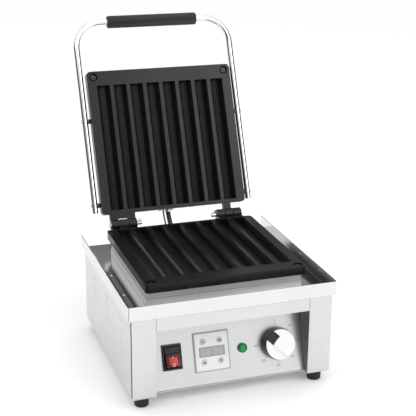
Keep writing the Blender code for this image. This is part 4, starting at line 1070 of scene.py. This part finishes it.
@dataclass
class Controls:
    """What is on the control panel: switch, timer, lamp, thermostat knob and the dial's print."""

    shop: Shop
    timer: Point = (-25.7 * MM, 48.6 * MM)
    lamp: Point = (21.2 * MM, 47.0 * MM)
    print_lift: float = 0.06 * MM
    dial_radius: float = 26.9 * MM
    number_radius: float = 32.6 * MM
    rocker_half_w: float = 11.1 * MM
    rocker_half_h: float = 14.1 * MM
    rocker_split: float = 4.6 * MM
    key_proud: float = 3.6 * MM
    figure_size: float = 4.6 * MM

    def build(self) -> None:
        """Make every control."""
        self.make_switch()
        self.make_timer()
        self.make_lamp()
        self.make_knob()
        self.make_dial()
        for node, finish in (("thermostat_body", SHEET_X), ("thermostat_spindle", BRIGHT), ("lamp_holder", BLACK)):
            self.shop.dress(node, finish)

    def make_switch(self) -> None:
        """Bezel, and a rocker with a black upper third and a lit red lens."""
        shop = self.shop
        shop.eased_copy("switch_bezel", 0.7 * MM, BLACK, "black_plastic", segments=3)
        joint = next(j for j in frame["joints"] if j["name"] == "rocker_tilt")
        lean = -math.radians(max(joint["range_deg"])) / 2
        pivot = (Matrix.Translation(Vector(joint["pos_m"])) @ Matrix.Rotation(-shop.site.tilt, 4, "X")
                 @ Matrix.Rotation(lean, 4, "X"))
        half_h, split, face, slab = self.rocker_half_h, self.rocker_split, self.rocker_front, self.rocker_slab
        black = slab(split + 0.1 * MM, half_h, 0.0, 0.0, 0.8 * MM).eased(0.5 * MM, 3)
        shop.piece("rocker_black_end", black.moved(pivot), "rocker", BLACK, "black_plastic")
        lens = slab(-half_h, split - 0.1 * MM, 0.0, 2.0 * MM, 0.8 * MM).eased(1.0 * MM, 3)
        shop.piece("rocker_lens", lens.moved(pivot), "rocker", RED, "red_lens", ["switch_rocker"])
        core = slab(-half_h + 3.0 * MM, split - 4.6 * MM, 5.0 * MM, 2.1 * MM, -2.0 * MM).eased(0.1 * MM, 2)
        shop.piece("rocker_glow", core.moved(pivot), "rocker", RED_CORE, "red_lens")
        marks = Stock.block((-0.55 * MM, face(1.0 * MM) - 2.25 * MM, -2.6 * MM),
                            (0.55 * MM, face(0.0) - 1.5 * MM, 0.8 * MM))
        low = -11.2 * MM
        loop = Stock.swept(rounded(0.9 * MM, 0.5 * MM, 0.2 * MM, 2),
                           [Vector((1.9 * MM * math.cos(t), face(low) - 2.15 * MM, low + 1.9 * MM * math.sin(t)))
                            for t in [2 * math.pi * k / 24 for k in range(25)]], Vector((0, 1, 0)))
        marks.joined(loop)
        shop.piece("rocker_marks", marks.moved(pivot), "rocker", PRINT_WHITE, "white_plastic")

    def rocker_front(self, z: float) -> float:
        """Level of the rocker's shallow V at a height."""
        return -(3.5 + 2.7 * abs(z) / self.rocker_half_h) * MM

    def rocker_slab(self, low: float, high: float, inset: float, front: float, back: float) -> Stock:
        """A rocker part whose front follows the shallow V.

        Args:
            low: its lower end.
            high: its upper end.
            inset: how far its sides are inside the rocker's.
            front: how far it stands in front of the V.
            back: level of its back.

        Returns:
            The part, in the rocker's frame.
        """
        levels = [low, high] if low * high >= 0 else [low, 0.0, high]
        outline = [(back, high), (back, low)] + [(self.rocker_front(z) - front, z) for z in levels]
        made = Stock.plate(outline, -self.rocker_half_w + inset, self.rocker_half_w - inset)
        return made.moved(Matrix(((0, 0, 1, 0), (1, 0, 0, 0), (0, 1, 0, 0), (0, 0, 0, 1)))).outward()

    def make_timer(self) -> None:
        """Border, face, display, digits and keys with their symbols."""
        shop, site = self.shop, self.shop.site
        shop.eased_copy("timer_housing", 0.35 * MM, BORDER, "grey_plastic")
        shop.dress("timer_face", WHITE)
        shop.dress("timer_display", DISPLAY)
        x, up = self.timer
        stand = site.on_panel(x, up)
        digits = Stock()
        for place in (-13.2, -5.2, 5.2, 13.2):
            digits.joined(self.digit(4.6 * MM, 8.6 * MM).moved(Matrix.Translation((place * MM, 0, 2.26 * MM))))
        for up_shift in (-2.0, 2.0):
            digits.joined(Stock.block((-0.5 * MM, (up_shift - 0.5) * MM, 2.15 * MM),
                                      (0.5 * MM, (up_shift + 0.5) * MM, 2.27 * MM)))
        shop.piece("timer_digits", digits.moved(stand), "base", DIGIT_PALE, "grey_display")
        symbols = {"start_button": self.play_symbol, "set_button": self.bars_symbol,
                   "up_button": lambda: self.triangle(1), "down_button": lambda: self.triangle(-1)}
        for node, symbol in symbols.items():
            low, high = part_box(node)
            middle = site.panel.inverted() @ ((low + high) / 2)
            proud = self.key_proud
            key = site.on_panel(middle.x, middle.z)
            cap = Stock.turned([(0.0, -4.5 * MM), (4.2 * MM, -4.5 * MM), (4.2 * MM, proud - 0.6 * MM),
                                (4.0 * MM, proud - 0.2 * MM), (3.6 * MM, proud), (0.0, proud)], 32)
            shop.piece(f"{node}_cap", cap.moved(key), node, KEY_GREY, "white_plastic", [node])
            mark = symbol().moved(Matrix.Translation((0, 0, proud - 0.02 * MM)))
            shop.piece(f"{node}_symbol", mark.moved(key), node, PRINT_DARK, "black_plastic")

    def digit(self, width: float, height: float) -> Stock:
        """A seven-segment figure of eight.

        Args:
            width: over its middle lines.
            height: over its middle lines.

        Returns:
            The digit, round the origin.
        """
        made, bar, thick = Stock(), 0.9 * MM, 0.05 * MM
        for level in (-height / 2, 0.0, height / 2):
            made.joined(Stock.block((-width / 2 + bar * 0.6, level - bar / 2, -thick),
                                    (width / 2 - bar * 0.6, level + bar / 2, thick)))
        for side in (-width / 2, width / 2):
            for low, high in ((-height / 2, 0.0), (0.0, height / 2)):
                made.joined(Stock.block((side - bar / 2, low + bar * 0.6, -thick),
                                        (side + bar / 2, high - bar * 0.6, thick)))
        return made

    def play_symbol(self) -> Stock:
        """A triangle and a bar.

        Returns:
            The symbol, standing on Z = 0.
        """
        thick = self.print_lift
        made = Stock.plate([(-2.0 * MM, -1.7 * MM), (0.9 * MM, 0.0), (-2.0 * MM, 1.7 * MM)], 0.0, thick)
        return made.joined(Stock.block((1.3 * MM, -1.7 * MM, 0.0), (2.1 * MM, 1.7 * MM, thick)))

    def bars_symbol(self) -> Stock:
        """Two level bars."""
        made = Stock.block((-2.6 * MM, 0.4 * MM, 0.0), (2.6 * MM, 1.4 * MM, self.print_lift))
        return made.joined(Stock.block((-2.6 * MM, -1.4 * MM, 0.0), (2.6 * MM, -0.4 * MM, self.print_lift)))

    def triangle(self, way: int) -> Stock:
        """A triangle that points up or down."""
        outline = [(-1.9 * MM, -1.5 * MM * way), (1.9 * MM, -1.5 * MM * way), (0.0, 2.1 * MM * way)]
        return Stock.plate(outline, 0.0, self.print_lift)

    def make_lamp(self) -> None:
        """Lamp with a dark green collar and a bright dome."""
        stand = self.shop.site.on_panel(*self.lamp)
        collar = [(4.4 * MM, -10.0 * MM), (4.45 * MM, 0.3 * MM), (7.2 * MM, 0.3 * MM), (7.2 * MM, 2.0 * MM),
                  (6.9 * MM, 2.5 * MM), (6.2 * MM, 2.7 * MM), (5.6 * MM, 2.4 * MM), (5.6 * MM, 1.0 * MM),
                  (0.0, 1.0 * MM), (0.0, -10.0 * MM), (4.4 * MM, -10.0 * MM)]
        self.shop.piece("lamp_collar", Stock.turned(collar, 40).moved(stand), "base", GREEN, "green_lens",
                        ["lamp_lens"])
        lens = [(0.0, 1.1 * MM), (5.45 * MM, 1.1 * MM), (5.45 * MM, 2.6 * MM)]
        lens += [(5.45 * MM * math.cos(t), 2.6 * MM + 2.6 * MM * math.sin(t)) for t in (0.3, 0.6, 0.9, 1.2)]
        lens += [(0.0, 5.2 * MM)]
        self.shop.piece("lamp_dome", Stock.turned(lens, 40).moved(stand), "base", GREEN_CORE, "green_lens")

    def make_knob(self) -> None:
        """Knob body with rolled edges, and its silver cap with the grip bar."""
        self.shop.eased_copy("thermostat_knob", 0.5 * MM, BLACK, "black_plastic", segments=3)
        self.shop.dress("knob_cap", CAP_SILVER)

    def make_dial(self) -> None:
        """Ticks and numbers round the knob, printed on the panel."""
        centre = self.shop.site.on_panel(*self.shop.site.dial)
        ticks, figures = Stock(), Stock()
        for number, degrees in enumerate((90, 45, 0, -45, -90, -135, -180)):
            turn = math.radians(degrees)
            tick = Stock.block((-1.1 * MM, -0.35 * MM, 0.0), (1.1 * MM, 0.35 * MM, self.print_lift))
            spot = Matrix.Translation((self.dial_radius * math.cos(turn), self.dial_radius * math.sin(turn), 0.0))
            ticks.joined(tick.moved(centre @ spot @ Matrix.Rotation(turn, 4, "Z")))
            label = self.figure(str(number * 50))
            spot = Matrix.Translation((self.number_radius * math.cos(turn),
                                       self.number_radius * math.sin(turn), 0.0))
            figures.joined(label.moved(centre @ spot))
        self.shop.piece("dial_ticks", ticks, "base", PRINT_GREY, "grey_plastic")
        self.shop.piece("dial_figures", figures, "base", PRINT_GREY, "grey_plastic")

    def figure(self, text: str) -> Stock:
        """A printed number, centred.

        Args:
            text: the number.

        Returns:
            Its solid letters, round the origin.
        """
        curve = bpy.data.curves.new("figure", "FONT")
        curve.body = text
        curve.size = self.figure_size
        curve.align_x = "CENTER"
        curve.align_y = "CENTER"
        curve.extrude = self.print_lift / 2
        obj = bpy.data.objects.new("figure", curve)
        bpy.context.scene.collection.objects.link(obj)
        bpy.context.view_layer.update()
        mesh = bpy.data.meshes.new_from_object(obj.evaluated_get(bpy.context.evaluated_depsgraph_get()))
        made = Stock()
        made.bm.from_mesh(mesh)
        bpy.data.objects.remove(obj)
        bpy.data.curves.remove(curve)
        bpy.data.meshes.remove(mesh)
        bmesh.ops.remove_doubles(made.bm, verts=made.bm.verts, dist=1e-6)
        return made.outward()


# ------------------------------------------------------------------ studio
class Sky(Paint):
    """Soft room light: bright overhead and in front, dim low down at the sides and behind."""

    def __init__(self, world: bpy.types.World) -> None:
        """Start on a world's background.

        Args:
            world: the world to light.
        """
        self.tree = world.node_tree
        self.shader = self.tree.nodes["Background"]

    def light(self) -> None:
        """Set the brightness of each direction."""
        way = self.node("ShaderNodeTexCoord", {}, {}, 0)
        x, y, z = (self.node("ShaderNodeSeparateXYZ", {}, {0: way}, number) for number in range(3))
        overhead = z.ramp(0.31, 0.62, 0.0, 1.12)
        ahead = x.ramp(-0.15, 0.08) * x.ramp(0.55, 0.75, 1.0, 0.0) * (y * -1.0).ramp(0.25, 0.55) * 1.10
        behind = (x * -1.0).ramp(0.05, 0.22) * y.ramp(0.45, 0.70) * 0.95
        self.feed(Color=(1.0, 1.0, 1.0, 1.0), Strength=overhead.most(ahead).most(behind).most(0.10))


@dataclass
class Studio:
    """Pale floor, soft light and the camera."""

    site: Site
    eye: tuple[float, float, float] = (-0.4724, -1.2614, 0.7338)
    yaw: float = 18.832
    pitch: float = 19.024
    roll: float = 0.503
    focal: float = 91.17

    def build(self) -> None:
        """Set up floor, world, lamps and camera."""
        scene = bpy.context.scene
        scene.view_settings.view_transform = "Standard"
        self.floor()
        world = bpy.data.worlds.new("studio_world")
        world.use_nodes = True
        Sky(world).light()
        scene.world = world
        target = self.site.at(0.0, 0.15, 0.12)
        self.lamp("key_softbox", (0.9, -1.3, 1.3), target, 0.9, 6.0)
        self.lamp("fill_softbox", (-1.1, -0.5, 1.5), target, 0.9, 2.5)
        self.lamp("top_softbox", (0.1, 0.5, 1.9), target, 1.2, 4.0)
        self.camera(scene)

    def floor(self) -> None:
        """A wide pale floor under the feet."""
        made = Stock()
        bmesh.ops.create_grid(made.bm, x_segments=4, y_segments=4, size=6.0)
        obj = bpy.data.objects.new("studio_floor", made.mesh("studio_floor"))
        bpy.context.scene.collection.objects.link(obj)
        paint = Paint("studio_floor")
        clouds = paint.noise((0.6, 0.6, 0.6), 1.0)
        paint.feed(Base_Color=paint.blend(clouds, (0.93, 0.93, 0.93), (0.96, 0.96, 0.96)), Roughness=0.9,
                   Emission_Color=(1.0, 1.0, 1.0, 1.0), Emission_Strength=0.12)
        obj.data.materials.append(paint.material)

    def lamp(self, name: str, place: Sequence[float], target: Vector, size: float, power: float) -> None:
        """A square soft light aimed at a point.

        Args:
            name: its name.
            place: where it is.
            target: what it faces.
            size: side of the square, in metres.
            power: in watts.
        """
        light = bpy.data.lights.new(name, "AREA")
        light.shape = "SQUARE"
        light.size = size
        light.energy = power
        obj = bpy.data.objects.new(name, light)
        obj.location = place
        obj.rotation_euler = (target - Vector(place)).to_track_quat("-Z", "Y").to_euler()
        bpy.context.scene.collection.objects.link(obj)

    def camera(self, scene: bpy.types.Scene) -> None:
        """The camera, from the operator's left and a little above.

        Args:
            scene: the scene that it films.
        """
        yaw, pitch, roll = (math.radians(value) for value in (self.yaw, self.pitch, self.roll))
        ahead = Vector((math.sin(yaw) * math.cos(pitch), math.cos(yaw) * math.cos(pitch), -math.sin(pitch)))
        level = Vector((math.cos(yaw), -math.sin(yaw), 0.0))
        over = level.cross(ahead)
        right = level * math.cos(roll) + over * math.sin(roll)
        up = over * math.cos(roll) - level * math.sin(roll)
        data = bpy.data.cameras.new("camera")
        data.lens = self.focal
        data.sensor_width = 36.0
        data.clip_start, data.clip_end = 0.05, 50.0
        obj = bpy.data.objects.new("camera", data)
        turn = Matrix((right, up, -ahead)).transposed().to_4x4()
        obj.matrix_world = Matrix.Translation(self.site.at(*self.eye)) @ turn
        scene.collection.objects.link(obj)
        scene.camera = obj


def main() -> None:
    """Build the looks and the studio."""
    logging.basicConfig(level=logging.INFO, format="%(message)s")
    site = Site()
    shop = Shop(site)
    for assembly in (Body(shop), Pan(shop), Plates(shop), Handle(shop), Conduit(shop), Controls(shop)):
        assembly.build()
        LOG.info("%s done", type(assembly).__name__)
    Studio(site).build()
    bpy.context.view_layer.update()


if __name__ == "__main__":
    main()
